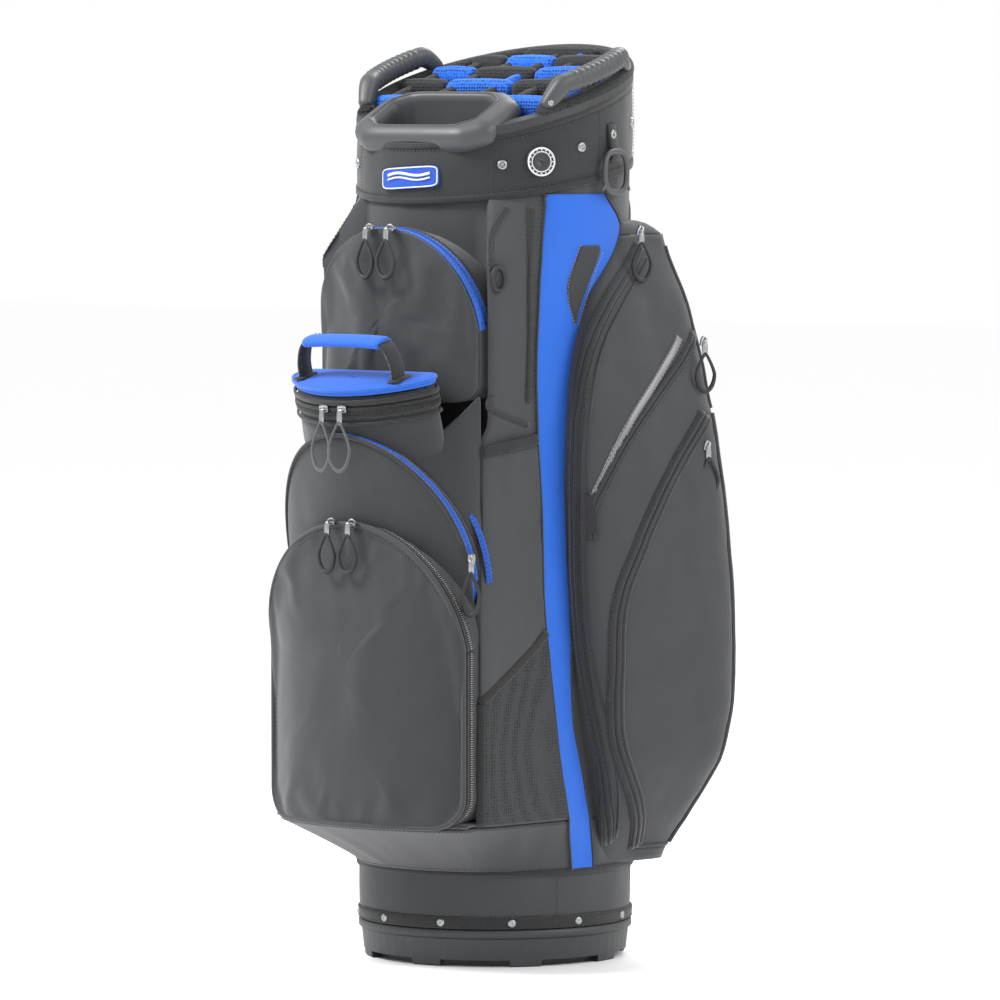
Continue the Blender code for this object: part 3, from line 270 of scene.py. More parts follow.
TEETH = metal("zip_teeth", (0.30, 0.31, 0.32), 0.4)
STEEL = metal("slider_metal", (0.33, 0.34, 0.35))
RUBBER = moulded("loop_rubber", (0.012, 0.013, 0.014), 0.6)
THREAD = moulded("thread", (0.040, 0.042, 0.045), 0.7, 0.0004)
TAN_THREAD = moulded("tan_thread", (0.35, 0.24, 0.13), 0.7, 0.0004)
GLINT = reflective("reflective_tape", (0.155, 0.155, 0.16))
CORD_GREY = woven("cord_grey", (0.070, 0.072, 0.076), pitch=0.0008)
BADGE_BLUE = moulded("badge_blue", (0.010, 0.07, 0.42), 0.25)
BADGE_WHITE = moulded("badge_white", (0.62, 0.63, 0.64), 0.3)


# ---------------------------------------------------------------- mesh helpers
def new_object(name, points, faces, smooth=True):
    """A mesh object in the row frame."""
    mesh = bpy.data.meshes.new(name)
    mesh.from_pydata([tuple(point) for point in points], [], faces)
    mesh.update()
    if smooth:
        mesh.shade_smooth()
    item = bpy.data.objects.new(name, mesh)
    bpy.context.scene.collection.objects.link(item)
    return item


def dress(item, finish, body="root", *replaced):
    """Give a piece its material, its body and the CAD nodes that it stands for."""
    item.data.materials.clear()
    item.data.materials.append(finish)
    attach(item, body)
    if replaced:
        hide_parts(*replaced)
    return item


def grid_piece(name, rows, closed=False):
    """A surface through rows of places; closed joins each row's end to its start."""
    count = len(rows[0])
    points = [place for row in rows for place in row]
    faces = []
    for r in range(len(rows) - 1):
        for c in range(count if closed else count - 1):
            after = (c + 1) % count
            faces.append((r * count + c, r * count + after, (r + 1) * count + after, (r + 1) * count + c))
    return new_object(name, points, faces)


def thicken(item, thickness, offset=-1.0, refine=0):
    """Give an open surface a thickness and, if asked, a finer, rounder mesh."""
    step = item.modifiers.new("thickness", "SOLIDIFY")
    step.thickness = thickness
    step.offset = offset
    if refine:
        smooth = item.modifiers.new("refine", "SUBSURF")
        smooth.levels = refine
        smooth.render_levels = refine
    return item


def smooth_path(points, steps=8, closed=False):
    """A curve through the points."""
    count = len(points)
    path = []
    for k in range(count if closed else count - 1):
        if closed:
            p0, p1, p2, p3 = (points[(k + j - 1) % count] for j in range(4))
        else:
            p0, p1 = points[max(k - 1, 0)], points[k]
            p2, p3 = points[k + 1], points[min(k + 2, count - 1)]
        for j in range(steps):
            t = j / steps
            path.append(0.5 * (2 * p1 + (p2 - p0) * t + (2 * p0 - 5 * p1 + 4 * p2 - p3) * t ** 2
                               + (3 * p1 - p0 - 3 * p2 + p3) * t ** 3))
    if not closed:
        path.append(points[-1].copy())
    return path


def even_path(path, outs, spacing):
    """Places at an even spacing along a path, each with its direction and its outward normal."""
    placed, travelled, goal = [], 0.0, spacing / 2
    for k in range(len(path) - 1):
        step = path[k + 1] - path[k]
        length = step.length
        while length > 1e-9 and travelled + length >= goal:
            share = (goal - travelled) / length
            out = outs[k].lerp(outs[k + 1], share)
            placed.append((path[k] + step * share, step.normalized(), out.normalized()))
            goal += spacing
        travelled += length
    return placed


def circle(radius, steps=10, squash=1.0):
    """A round section."""
    return [(radius * cos(2 * pi * k / steps), radius * squash * sin(2 * pi * k / steps))
            for k in range(steps)]


def band(width, thickness, sink=0.0006):
    """A flat tape's section with soft edges, its underside just below the surface that it lies on."""
    half, soft = width / 2, min(width / 4, thickness)
    return [(-half, -sink), (half, -sink), (half, thickness * 0.5), (half - soft, thickness),
            (-half + soft, thickness), (-half, thickness * 0.5)]


def sweep(name, path, outs, section, closed=False, scale=None):
    """A section carried along a path; outs say which way its second direction points."""
    count, width = len(path), len(section)
    points, faces = [], []
    for k in range(count):
        before = path[k - 1] if k or closed else path[k]
        after = path[(k + 1) % count] if k < count - 1 or closed else path[k]
        along = (after - before).normalized()
        side = along.cross(outs[k]).normalized()
        out = side.cross(along)
        size = scale[k] if scale else 1.0
        points += [path[k] + side * a * size + out * b * size for a, b in section]
    for k in range(count if closed else count - 1):
        for j in range(width):
            first, second = k * width, ((k + 1) % count) * width
            after = (j + 1) % width
            faces.append((first + j, second + j, second + after, first + after))
    if not closed:
        faces.append(tuple(range(width)))
        faces.append(tuple(range(count * width - 1, (count - 1) * width - 1, -1)))
    return new_object(name, points, faces)


def studs(name, places, size, lift=0.0, shift=0.0):
    """Small soft-edged blocks at places: size is (along, across, out). Used for teeth and stitches."""
    points, faces = [], []
    long, wide, high = size[0] / 2, size[1] / 2, size[2]
    shape = [(-1, -0.6, 0), (-1, 0.6, 0), (1, 0.6, 0), (1, -0.6, 0),
             (-0.6, -1, 0.6), (-0.6, 1, 0.6), (0.6, 1, 0.6), (0.6, -1, 0.6),
             (-0.5, -0.5, 1), (-0.5, 0.5, 1), (0.5, 0.5, 1), (0.5, -0.5, 1)]
    for place, along, out in places:
        side = along.cross(out).normalized()
        base = len(points)
        origin = place + side * shift + out * lift
        points += [origin + along * a * long + side * b * wide + out * c * high for a, b, c in shape]
        for low in (0, 4):
            for k in range(4):
                after = (k + 1) % 4
                faces.append((base + low + k, base + low + after, base + low + 4 + after,
                              base + low + 4 + k))
        faces.append((base + 8, base + 9, base + 10, base + 11))
        faces.append((base + 3, base + 2, base + 1, base))
    return new_object(name, points, faces)


def rumple(place, out, amount, size=0.05, seed=0.0):
    """A place moved in or out by soft, uneven folds."""
    at = place / size + Vector((seed, seed * 1.7, seed * 0.6))
    fold = noise.noise(at) + 0.45 * noise.noise(at * 2.3)
    return place + out * amount * fold


def curve_value(knots, at):
    """A smooth value between (position, value) knots."""
    if at <= knots[0][0]:
        return knots[0][1]
    for k in range(len(knots) - 1):
        if at <= knots[k + 1][0]:
            p0, p1 = knots[max(k - 1, 0)][1], knots[k][1]
            p2, p3 = knots[k + 1][1], knots[min(k + 2, len(knots) - 1)][1]
            t = (at - knots[k][0]) / (knots[k + 1][0] - knots[k][0])
            return 0.5 * (2 * p1 + (p2 - p0) * t + (2 * p0 - 5 * p1 + 4 * p2 - p3) * t ** 2
                          + (3 * p1 - p0 - 3 * p2 + p3) * t ** 3)
    return knots[-1][1]


def around(angle, radius, height):
    """A place round the bag: the angle runs from the front towards +X."""
    return Vector((radius * sin(angle), -radius * cos(angle), height))


def mirrored(place):
    """A place's twin on the other side of the bag."""
    return Vector((-place.x, place.y, place.z))


class Surface:
    """A surface given by a rule from two numbers to a place; side is 1 for the right, -1 for the left."""

    def __init__(self, rule, side=1):
        self.rule = rule
        self.side = side

    def at(self, a, b, lift=0.0):
        """The place for two numbers, lifted off the surface."""
        place = self.rule(a, b)
        if lift:
            place = place + self.bare_normal(a, b) * lift
        return place if self.side > 0 else mirrored(place)

    def bare_normal(self, a, b):
        """The outward direction before any mirroring."""
        across = self.rule(a + 0.002, b) - self.rule(a - 0.002, b)
        up = self.rule(a, b + 0.001) - self.rule(a, b - 0.001)
        return across.cross(up).normalized()

    def normal(self, a, b):
        """The outward direction."""
        out = self.bare_normal(a, b)
        return out if self.side > 0 else mirrored(out)

    def path(self, knots, lift=0.0, steps=8, closed=False):
        """A smooth line over the surface through (a, b) knots: its places and normals."""
        flat = smooth_path([Vector((a, b, 0.0)) for a, b in knots], steps, closed)
        return [self.at(p.x, p.y, lift) for p in flat], [self.normal(p.x, p.y) for p in flat]

    def seen(self, across, height, low, high):
        """The first number of the place that the camera sees this far to the right at a height."""
        for _ in range(40):
            middle = (low + high) / 2
            place = self.rule(middle, height)
            if place.x * cos(VIEW_AZIMUTH) + place.y * sin(VIEW_AZIMUTH) < across:
                low = middle
            else:
                high = middle
        return (low + high) / 2

    def seen_knots(self, marks, low, high):
        """Knots on the surface for marks given as (across, height) in the camera's view."""
        return [(self.seen(across, height, low, high), height) for across, height in marks]


def stitches(name, path, outs, finish, body, shift=0.0, spacing=0.0045, lift=0.0003):
    """A row of stitches along a path."""
    row = studs(name, even_path(path, outs, spacing), (spacing * 0.66, 0.0007, 0.0006), lift, shift)
    return dress(row, finish, body)


def flat_zip(name, path, outs, body, width=0.013, tape=None, teeth=None, covered=False):
    """A zip laid on a surface: its tape, its teeth and a row of stitches along each edge."""
    dress(sweep(name + "_tape", path, outs, band(width, 0.0012)), tape or TAPE_BLACK, body)
    if covered:
        for edge, side in (("a", -1), ("b", 1)):
            lip = [(side * 0.0003, 0.0), (side * width * 0.34, 0.0010), (side * width * 0.30, 0.0024),
                   (side * 0.0009, 0.0026), (side * 0.0003, 0.0016)]
            dress(sweep(name + "_lip_" + edge, path, outs, lip[::side]), CLOTH_DARK, body)
    else:
        rows = even_path(path, outs, 0.0019)
        dress(studs(name + "_teeth", rows, (0.0012, 0.0046, 0.0013), 0.0009), teeth or COIL, body)
    for edge, side in (("a", -1), ("b", 1)):
        stitches(name + "_seam_" + edge, path, outs, THREAD, body, side * width * 0.42, lift=0.0011)


# ---------------------------------------------------------------- the bag's body
SKIRT_LOW = 0.094


class Pouch:
    """An arched zip pocket's driving sizes, read from its panel, and the line that its zip follows."""

    def __init__(self, node, side_y, apex_y, centre_y, corner):
        low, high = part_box(node)
        self.half_width, self.bottom, self.top = high.x, low.z, high.z
        self.side_y, self.apex_y, self.centre_y, self.corner = side_y, apex_y, centre_y, corner
        self.spring = self.top - self.half_width

    def line_y(self, x, z):
        """How far forward the zip line is: a leaning plane over the arch, round below it."""
        if z >= self.spring:
            return self.side_y + (self.apex_y - self.side_y) * (z - self.spring) / self.half_width
        drop = (self.spring - z) / (self.spring - self.bottom)
        round_front = 1 - min(1.0, (x / self.half_width) ** 2)
        return self.side_y + (self.apex_y - self.side_y) * round_front * drop ** 2

    def outline(self, spacing=0.004):
        """(x, z) places and outward directions, from the right foot up and over, then along the bottom."""
        w, r = self.half_width, self.corner
        corners = (((0.0, self.spring), w, 0.0, pi), ((-w + r, self.bottom + r), r, pi, 1.5 * pi),
                   ((w - r, self.bottom + r), r, 1.5 * pi, 2 * pi))
        knots = []
        for (cx, cz), radius, start, end in corners:
            steps = max(6, int(radius * (end - start) / spacing))
            for k in range(steps + 1):
                turn = start + (end - start) * k / steps
                knots.append((Vector((cx + radius * cos(turn), cz + radius * sin(turn))),
                              Vector((cos(turn), sin(turn)))))
        places = []
        for (p, n), (q, m) in zip(knots, knots[1:] + knots[:1]):
            steps = max(1, round((q - p).length / spacing))
            places += [(p.lerp(q, j / steps), n.lerp(m, j / steps).normalized()) for j in range(steps)]
        return places

    def loop(self, back=0.0, out=0.0, start=0.0, end=1.0):
        """A line round the pocket, set back from the zip line and out from the outline."""
        edge = self.outline()
        first, last = int(start * len(edge)), int(end * len(edge))
        return [Vector((p.x + n.x * out, self.line_y(p.x, p.y) + back, p.y + n.y * out))
                for p, n in edge[first:last]]

    def outs(self, start=0.0, end=1.0):
        """The outward directions that go with loop."""
        edge = self.outline()
        first, last = int(start * len(edge)), int(end * len(edge))
        return [Vector((n.x, 0.0, n.y)) for _, n in edge[first:last]]


BALL = Pouch("ball_pocket_panel", -0.2025, -0.236, -0.247, 0.030)
TOP = Pouch("top_pocket_panel", -0.152, -0.176, -0.181, 0.020)
BARREL_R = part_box("base_sleeve")[1].x - 0.0025
SKIN_R = BARREL_R + 0.0004
FRONT_EDGE = ((0.147, Vector((0.1215, -0.185))), (0.325, Vector((0.1215, -0.185))),
              (0.520, Vector((0.1000, -0.155))), (0.540, Vector((0.1050, -0.146))),
              (0.700, Vector((0.1050, -0.146))), (0.742, Vector((0.0880, -0.123))))
BACK_EDGE = ((0.147, Vector((0.1385, -0.070))), (0.325, Vector((0.1385, -0.070))),
             (0.520, Vector((0.1240, -0.078))), (0.540, Vector((0.1260, -0.076))),
             (0.700, Vector((0.1260, -0.076))), (0.742, Vector((0.1200, -0.072))))


def between(knots, at):
    """A value between (position, value) knots, in straight steps."""
    if at <= knots[0][0]:
        return knots[0][1]
    for (low, first), (high, second) in zip(knots, knots[1:]):
        if at <= high:
            return first + (second - first) * ((at - low) / (high - low))
    return knots[-1][1]


def wall_radius(angle, height):
    """How far the body's side wall is from the axis, before its corners are softened."""
    front, back = between(FRONT_EDGE, height), between(BACK_EDGE, height)
    turn = abs(angle)
    first, last = atan2(front.x, -front.y), atan2(back.x, -back.y)
    if turn > last + 0.45 or height > 0.765:
        return SKIN_R
    if turn > last:
        away = (turn - last) / 0.45
        return back.length + (SKIN_R - back.length) * (1 - (1 - away) ** 2)
    across, ray = back - front, Vector((sin(turn), -cos(turn)))
    reach = (front.x * across.y - front.y * across.x) / (ray.x * across.y - ray.y * across.x)
    if height > 0.742:
        reach += (SKIN_R - reach) * min(1.0, (height - 0.742) / 0.023)
    return max(reach, SKIN_R) if turn >= first else SKIN_R


def skirt_top(angle):
    """How far the skirt's top edge is from the axis: under the ball pocket it follows the pocket's foot."""
    turn = abs(angle)
    corner = atan2(BALL.half_width, -BALL.side_y)
    if turn >= front_angle(0.147):
        return (body_place(turn, 0.147) - Vector((0.0, 0.0, 0.147))).length
    if turn >= corner:
        share = (turn - corner) / (front_angle(0.147) - corner)
        return hypot(BALL.half_width, BALL.side_y) * (1 - share) + FRONT_EDGE[0][1].length * share
    rise = 1 - (tan(turn) * -BALL.side_y / BALL.half_width) ** 2
    return (-BALL.side_y + (BALL.side_y - BALL.apex_y) * rise) / cos(turn)


def skirt_place(angle, height):
    """The skirt: it tapers from the pockets' feet to the base sleeve, with soft upright folds."""
    share = min(max((height - SKIRT_LOW) / (0.147 - SKIRT_LOW), 0.0), 1.0)
    top = skirt_top(angle)
    radius = BARREL_R + 0.0035 + (top - BARREL_R - 0.0035) * share ** 1.15
    fold = noise.noise(Vector((angle * 7.0, 3.0, height * 9.0)))
    return around(angle, radius + 0.0035 * fold * sin(pi * min(share, 1.0)), height)


def body_place(angle, height):
    """The outside of the body fabric, with soft corners and shallow folds."""
    if height < 0.147:
        return skirt_place(angle, height)
    spread = (-0.06, -0.03, 0.0, 0.03, 0.06)
    first = atan2(between(FRONT_EDGE, height).x, -between(FRONT_EDGE, height).y)
    turns = [max(angle + step, first + 0.001) if angle > first else angle for step in spread]
    radius = sum(wall_radius(turn, height) for turn in turns) / len(turns)
    place = around(angle, radius, height)
    return rumple(place, around(angle, 1.0, 0.0), 0.0011, 0.045)


BODY = {1: Surface(body_place), -1: Surface(body_place, -1)}


def front_angle(height):
    """The angle of the body's front corner."""
    front = between(FRONT_EDGE, height)
    return atan2(front.x, -front.y)


def make_body():
    """The cloth cover: one skin right round, folded in at the front corners behind the pockets."""
    rows = []
    for step in range(82):
        height = 0.147 + (0.792 - 0.147) * step / 81
        row = []
        for side in (1, -1):
            turns = [0.001 + front_angle(height) + (pi - 0.001 - front_angle(height)) * k / 60
                     for k in range(61)]
            places = [body_place(turn, height) for turn in turns]
            row.append(places if side > 0 else [mirrored(place) for place in places])
        inner = [around(turn * 0.1, SKIN_R, height) for turn in range(-6, 7)]
        right, left = row
        rows.append(inner[7:] + right + left[::-1][1:] + inner[:6])
    skin = grid_piece("body_cloth", rows, closed=True)
    dress(thicken(skin, 0.0020), CLOTH_BODY, "root", "body_cover")


def lay_patch(name, surface, outline, finish, body, thickness=0.0012, cells=14, lift=0.0):
    """A piece of cloth on a surface: left and right edges are (first number, height) knots."""
    left, right = outline
    low, high = left[0][1], left[-1][1]
    rows = []
    for k in range(int((high - low) / 0.006) + 2):
        height = min(low + 0.006 * k, high)
        a = curve_value([(z, v) for v, z in left], height)
        b = curve_value([(z, v) for v, z in right], height)
        rows.append([surface.at(a + (b - a) * j / cells, height, thickness + lift)
                     for j in range(cells + 1)])
    if surface.side < 0:
        rows = [row[::-1] for row in rows]
    patch = grid_piece(name, rows)
    return dress(thicken(patch, thickness + 0.0004, refine=1), finish, body)


STRIPE_LEFT = ((0.075, 0.0950), (0.072, 0.1465), (0.064, 0.200), (0.058, 0.255), (0.048, 0.355),
               (0.0452, 0.455),
               (0.0400, 0.575), (0.0420, 0.650), (0.0450, 0.7050), (0.0500, 0.7640))
STRIPE_RIGHT = ((0.0970, 0.0950), (0.0930, 0.1465), (0.0840, 0.200), (0.0755, 0.255), (0.0735, 0.355),
                (0.0690, 0.455),
                (0.0750, 0.575), (0.0980, 0.650), (0.1270, 0.7050), (0.1230, 0.7350), (0.1080, 0.7640))


def make_skirt():
    """The fabric between the base sleeve and the pockets, with a bound seam round its top."""
    turns = [2 * pi * k / 150 - pi for k in range(150)]
    heights = [SKIRT_LOW + (0.1468 - SKIRT_LOW) * k / 14 for k in range(15)]
    rows = [[skirt_place(turn, height) for turn in turns] for height in heights]
    rows.append([place.lerp(Vector((place.x * 0.86, place.y * 0.86, 0.1468)), 1.0) for place in rows[-1]])
    dress(thicken(grid_piece("skirt_cloth", rows, closed=True), 0.0022, refine=1), CLOTH_BODY, "root",
          "skirt")
    outs = [Vector((place.x, place.y, 0.0)).normalized() for place in rows[0]]
    for name, row in (("low", 1), ("high", 13)):
        path = rows[row]
        stitches("skirt_seam_" + name, path + path[:1], outs + outs[:1], THREAD, "root", lift=0.0002)
    dress(sweep("skirt_binding", rows[0], outs, band(0.006, 0.0016, 0.0012), closed=True), TAPE_BLACK,
          "root")


def make_stripe(side, word):
    """The blue stripe that runs down the body and flares over the shoulder, and its patch."""
    surface = BODY[side]
    left = surface.seen_knots(STRIPE_LEFT, 0.2, 2.1)
    right = surface.seen_knots(STRIPE_RIGHT, 0.2, 2.1)
    lay_patch("stripe_" + word, surface, (left, right), CLOTH_BLUE, "root")
    for edge, knots in (("front", left), ("back", right)):
        path, outs = surface.path(knots, 0.0012)
        dress(sweep("stripe_%s_cord_%s" % (edge, word), path, outs, circle(0.0013, 8)), CLOTH_DARK, "root")
        stitches("stripe_%s_seam_%s" % (edge, word), path, outs, THREAD, "root",
                 (0.0032 if edge == "front" else -0.0032) * (-side), lift=0.0006)


def make_shoulder_details(side, word):
    """The shoulder's seams, the slit for a cart's strap and the lower edge tape."""
    surface = BODY[side]
    lines = (("upper", ((0.012, 0.752), (-0.004, 0.726), (-0.033, 0.690))),
             ("lower", ((-0.048, 0.567), (-0.010, 0.554), (0.033, 0.537))))
    for name, marks in lines:
        knots = surface.seen_knots(marks, 0.2, 2.1)
        knots = [(max(a, front_angle(z) + 0.02), z) for a, z in knots]
        path, outs = surface.path(knots)
        dress(sweep("shoulder_%s_%s" % (name, word), path, outs, band(0.0055, 0.0012)), CLOTH_DARK, "root")
        stitches("shoulder_%s_seam_%s" % (name, word), path, outs, THREAD, "root", 0.0017, lift=0.0012)
    knots = surface.seen_knots(((0.0345, 0.752), (0.0350, 0.700), (0.0345, 0.620), (0.0325, 0.560)), 0.2,
                               2.1)
    path, outs = surface.path(knots)
    dress(sweep("slit_%s" % word, path, outs, band(0.0065, 0.0014)), TAPE_BLACK, "root")
    for edge in (-1, 1):
        stitches("slit_seam_%s_%s" % ("ab"[edge > 0], word), path, outs, THREAD, "root", edge * 0.0042)


def make_small_pockets(side, word):
    """The sleeve pocket with its dark mouth, and the net pocket under it."""
    surface = BODY[side]
    front = front_angle(0.35) + 0.012
    limit = surface.seen_knots(STRIPE_LEFT, 0.2, 2.1)
    limit = [(height, angle) for angle, height in limit]
    rows = []
    for k in range(32):
        share_up = k / 31
        row = []
        for j in range(25):
            share = j / 24
            top = 0.268 + 0.066 * share ** 0.8
            height = 0.149 + (top - 0.149) * share_up
            angle = front + (curve_value(limit, height) - 0.008 - front) * share
            bulge = 0.0030 + 0.0045 * sin(pi * share) * sin(pi * min(1.0, share_up * 1.1))
            row.append(surface.at(angle, height, bulge))
        rows.append(row if side > 0 else row[::-1])
    net = thicken(grid_piece("net_pocket_" + word, rows), 0.0012, refine=1)
    dress(net, NET, "root", "mesh_pocket_" + word)
    for name, edge in (("top", rows[-1]), ("side", [row[0 if side > 0 else -1] for row in rows])):
        outs = [Vector((place.x, place.y, 0.0)).normalized() for place in edge]
        dress(sweep("net_%s_binding_%s" % (name, word), edge, outs, band(0.009, 0.0018, 0.0008)),
              TAPE_BLACK, "root")
    rows = []
    for k in range(40):
        share_up = k / 39
        row = []
        for j in range(25):
            share = j / 24
            top = 0.512 + 0.012 * share
            height = 0.262 + (top - 0.262) * share_up
            first = max(front_angle(height) + 0.006, front)
            last = curve_value(limit, height) - 0.008
            angle = first + (last - first) * share
            bulge = 0.0022 + 0.0035 * sin(pi * share) * share_up ** 3
            place = surface.at(angle, height, bulge)
            row.append(rumple(place, surface.normal(angle, height), 0.0016, 0.035, 4.0))
        rows.append(row if side > 0 else row[::-1])
    sleeve = thicken(grid_piece("sleeve_cloth_" + word, rows), 0.0022, refine=1)
    dress(sleeve, CLOTH_BODY, "root", "sleeve_pocket_" + word)
    outs = [Vector((place.x, place.y, 0.0)).normalized() for place in rows[-1]]
    dress(sweep("sleeve_binding_" + word, rows[-1], outs, band(0.010, 0.0022, 0.0016)), TAPE_BLACK, "root")
    stitches("sleeve_seam_" + word, rows[-2], outs, THREAD, "root", 0.0, lift=0.0016)


# ---------------------------------------------------------------- side pockets
SIDE_PLAN = ((0.137, -0.058), (0.175, -0.055), (0.215, 0.020), (0.225, 0.095), (0.105, 0.122))
SIDE_INNER_X, SIDE_BACK_Y = 0.130, 0.095
SIDE_FULL = ((0.095, 0.06), (0.150, 0.46), (0.205, 0.84), (0.285, 1.0), (0.420, 0.94), (0.550, 0.72),
             (0.650, 0.42), (0.724, 0.08))
SIDE_REACH = ((0.095, 0.62), (0.300, 0.95), (0.450, 1.0), (0.580, 0.96), (0.660, 0.78), (0.724, 0.42))
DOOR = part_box("side_pocket_panel_right")
PLANS = {}


def side_plan(height):
    """The side pocket's outer line at a height, as an even run of places."""
    key = round(height, 5)
    if key not in PLANS:
        full, reach = curve_value(SIDE_FULL, height), curve_value(SIDE_REACH, height)
        knots = []
        for x, y in SIDE_PLAN:
            forward = (y - SIDE_BACK_Y) * reach if y < SIDE_BACK_Y else y - SIDE_BACK_Y
            wide = SIDE_INNER_X + (x - SIDE_INNER_X) * full if x > SIDE_INNER_X else x
            knots.append(Vector((wide, SIDE_BACK_Y + forward, height)))
        knots[0] = knots[0] + Vector((-0.010, 0.004, 0.0))
        line = smooth_path(knots, 8)
        lengths = [0.0]
        for first, second in zip(line, line[1:]):
            lengths.append(lengths[-1] + (second - first).length)
        PLANS[key] = line, [length / lengths[-1] for length in lengths]
    return PLANS[key]


def side_place(share, height):
    """The side pocket's outer face: share runs from its front edge round to the back."""
    line, marks = side_plan(height)
    share = min(max(share, 0.0), 1.0)
    k = 0
    while k < len(marks) - 2 and marks[k + 1] < share:
        k += 1
    part = (share - marks[k]) / max(marks[k + 1] - marks[k], 1e-9)
    place = line[k].lerp(line[k + 1], part)
    out = Vector((1.0, -0.35, 0.0)).normalized()
    calm = sin(pi * share) ** 0.5 if 0.0 < share < 1.0 else 0.0
    return rumple(place, out, 0.0022 * calm, 0.05, 2.0)


SIDE = {1: Surface(side_place), -1: Surface(side_place, -1)}
SIDE_ROWS, SIDE_CELLS = 130, 84


PANEL_ZIP = ((0.2080, 0.5450), (0.1680, 0.4750), (0.1290, 0.3850), (0.1190, 0.3150), (0.1250, 0.2050),
             (0.1380, 0.1120))
PANEL_LOW, PANEL_HIGH, PANEL_BACK_Y = 0.112, 0.545, DOOR[1].y


def seen_across(place):
    """How far to the right of the bag's axis the camera sees a place."""
    return place.x * cos(VIEW_AZIMUTH) + place.y * sin(VIEW_AZIMUTH)


def inside_door(place):
    """Whether a place on the right pocket's outer face is on its zipped panel."""
    if not PANEL_LOW < place.z < PANEL_HIGH or place.y > PANEL_BACK_Y:
        return False
    return seen_across(place) > curve_value([(z, u) for u, z in PANEL_ZIP[::-1]], place.z)


def make_side_pocket(side, word):
    """The large pocket: its shell, and the zipped panel that swings on the back edge."""
    low, high = 0.097, 0.722
    grid = [[side_place(j / SIDE_CELLS, low + (high - low) * k / SIDE_ROWS) for j in range(SIDE_CELLS + 1)]
            for k in range(SIDE_ROWS + 1)]
    for name, wanted, finish, body, node in (
            ("side_shell_", False, CLOTH_SIDE, "root", "side_pocket_shell_"),
            ("side_panel_", True, CLOTH_SIDE, "side_panel_" + word, "side_pocket_panel_")):
        index, points, faces = {}, [], []
        for k in range(SIDE_ROWS):
            for j in range(SIDE_CELLS):
                ring = ((k, j), (k, j + 1), (k + 1, j + 1), (k + 1, j))
                middle = sum((grid[r][c] for r, c in ring), Vector()) / 4
                if inside_door(middle) != wanted:
                    continue
                face = []
                for corner in ring:
                    if corner not in index:
                        index[corner] = len(points)
                        place = grid[corner[0]][corner[1]]
                        points.append(place if side > 0 else mirrored(place))
                    face.append(index[corner])
                faces.append(tuple(face if side > 0 else face[::-1]))
        item = new_object(name + "cloth_" + word, points, faces)
        dress(thicken(item, 0.0022), finish, body, node + word)
    top = [side_place(j / 40, high) for j in range(41)]
    rows = []
    for lift in (0.0, 0.5, 1.0):
        row = []
        for place in top:
            away = Vector((place.x, place.y, 0.0)).normalized() * (SKIN_R - 0.001)
            home = Vector((away.x, away.y, high + 0.014))
            row.append(place.lerp(home, lift) + Vector((0, 0, 0.006 * sin(pi * lift))))
        rows.append([p if side > 0 else mirrored(p) for p in (row if side > 0 else row[::-1])])
    dress(thicken(grid_piece("side_top_" + word, rows), 0.002, refine=1), CLOTH_SIDE, "root")


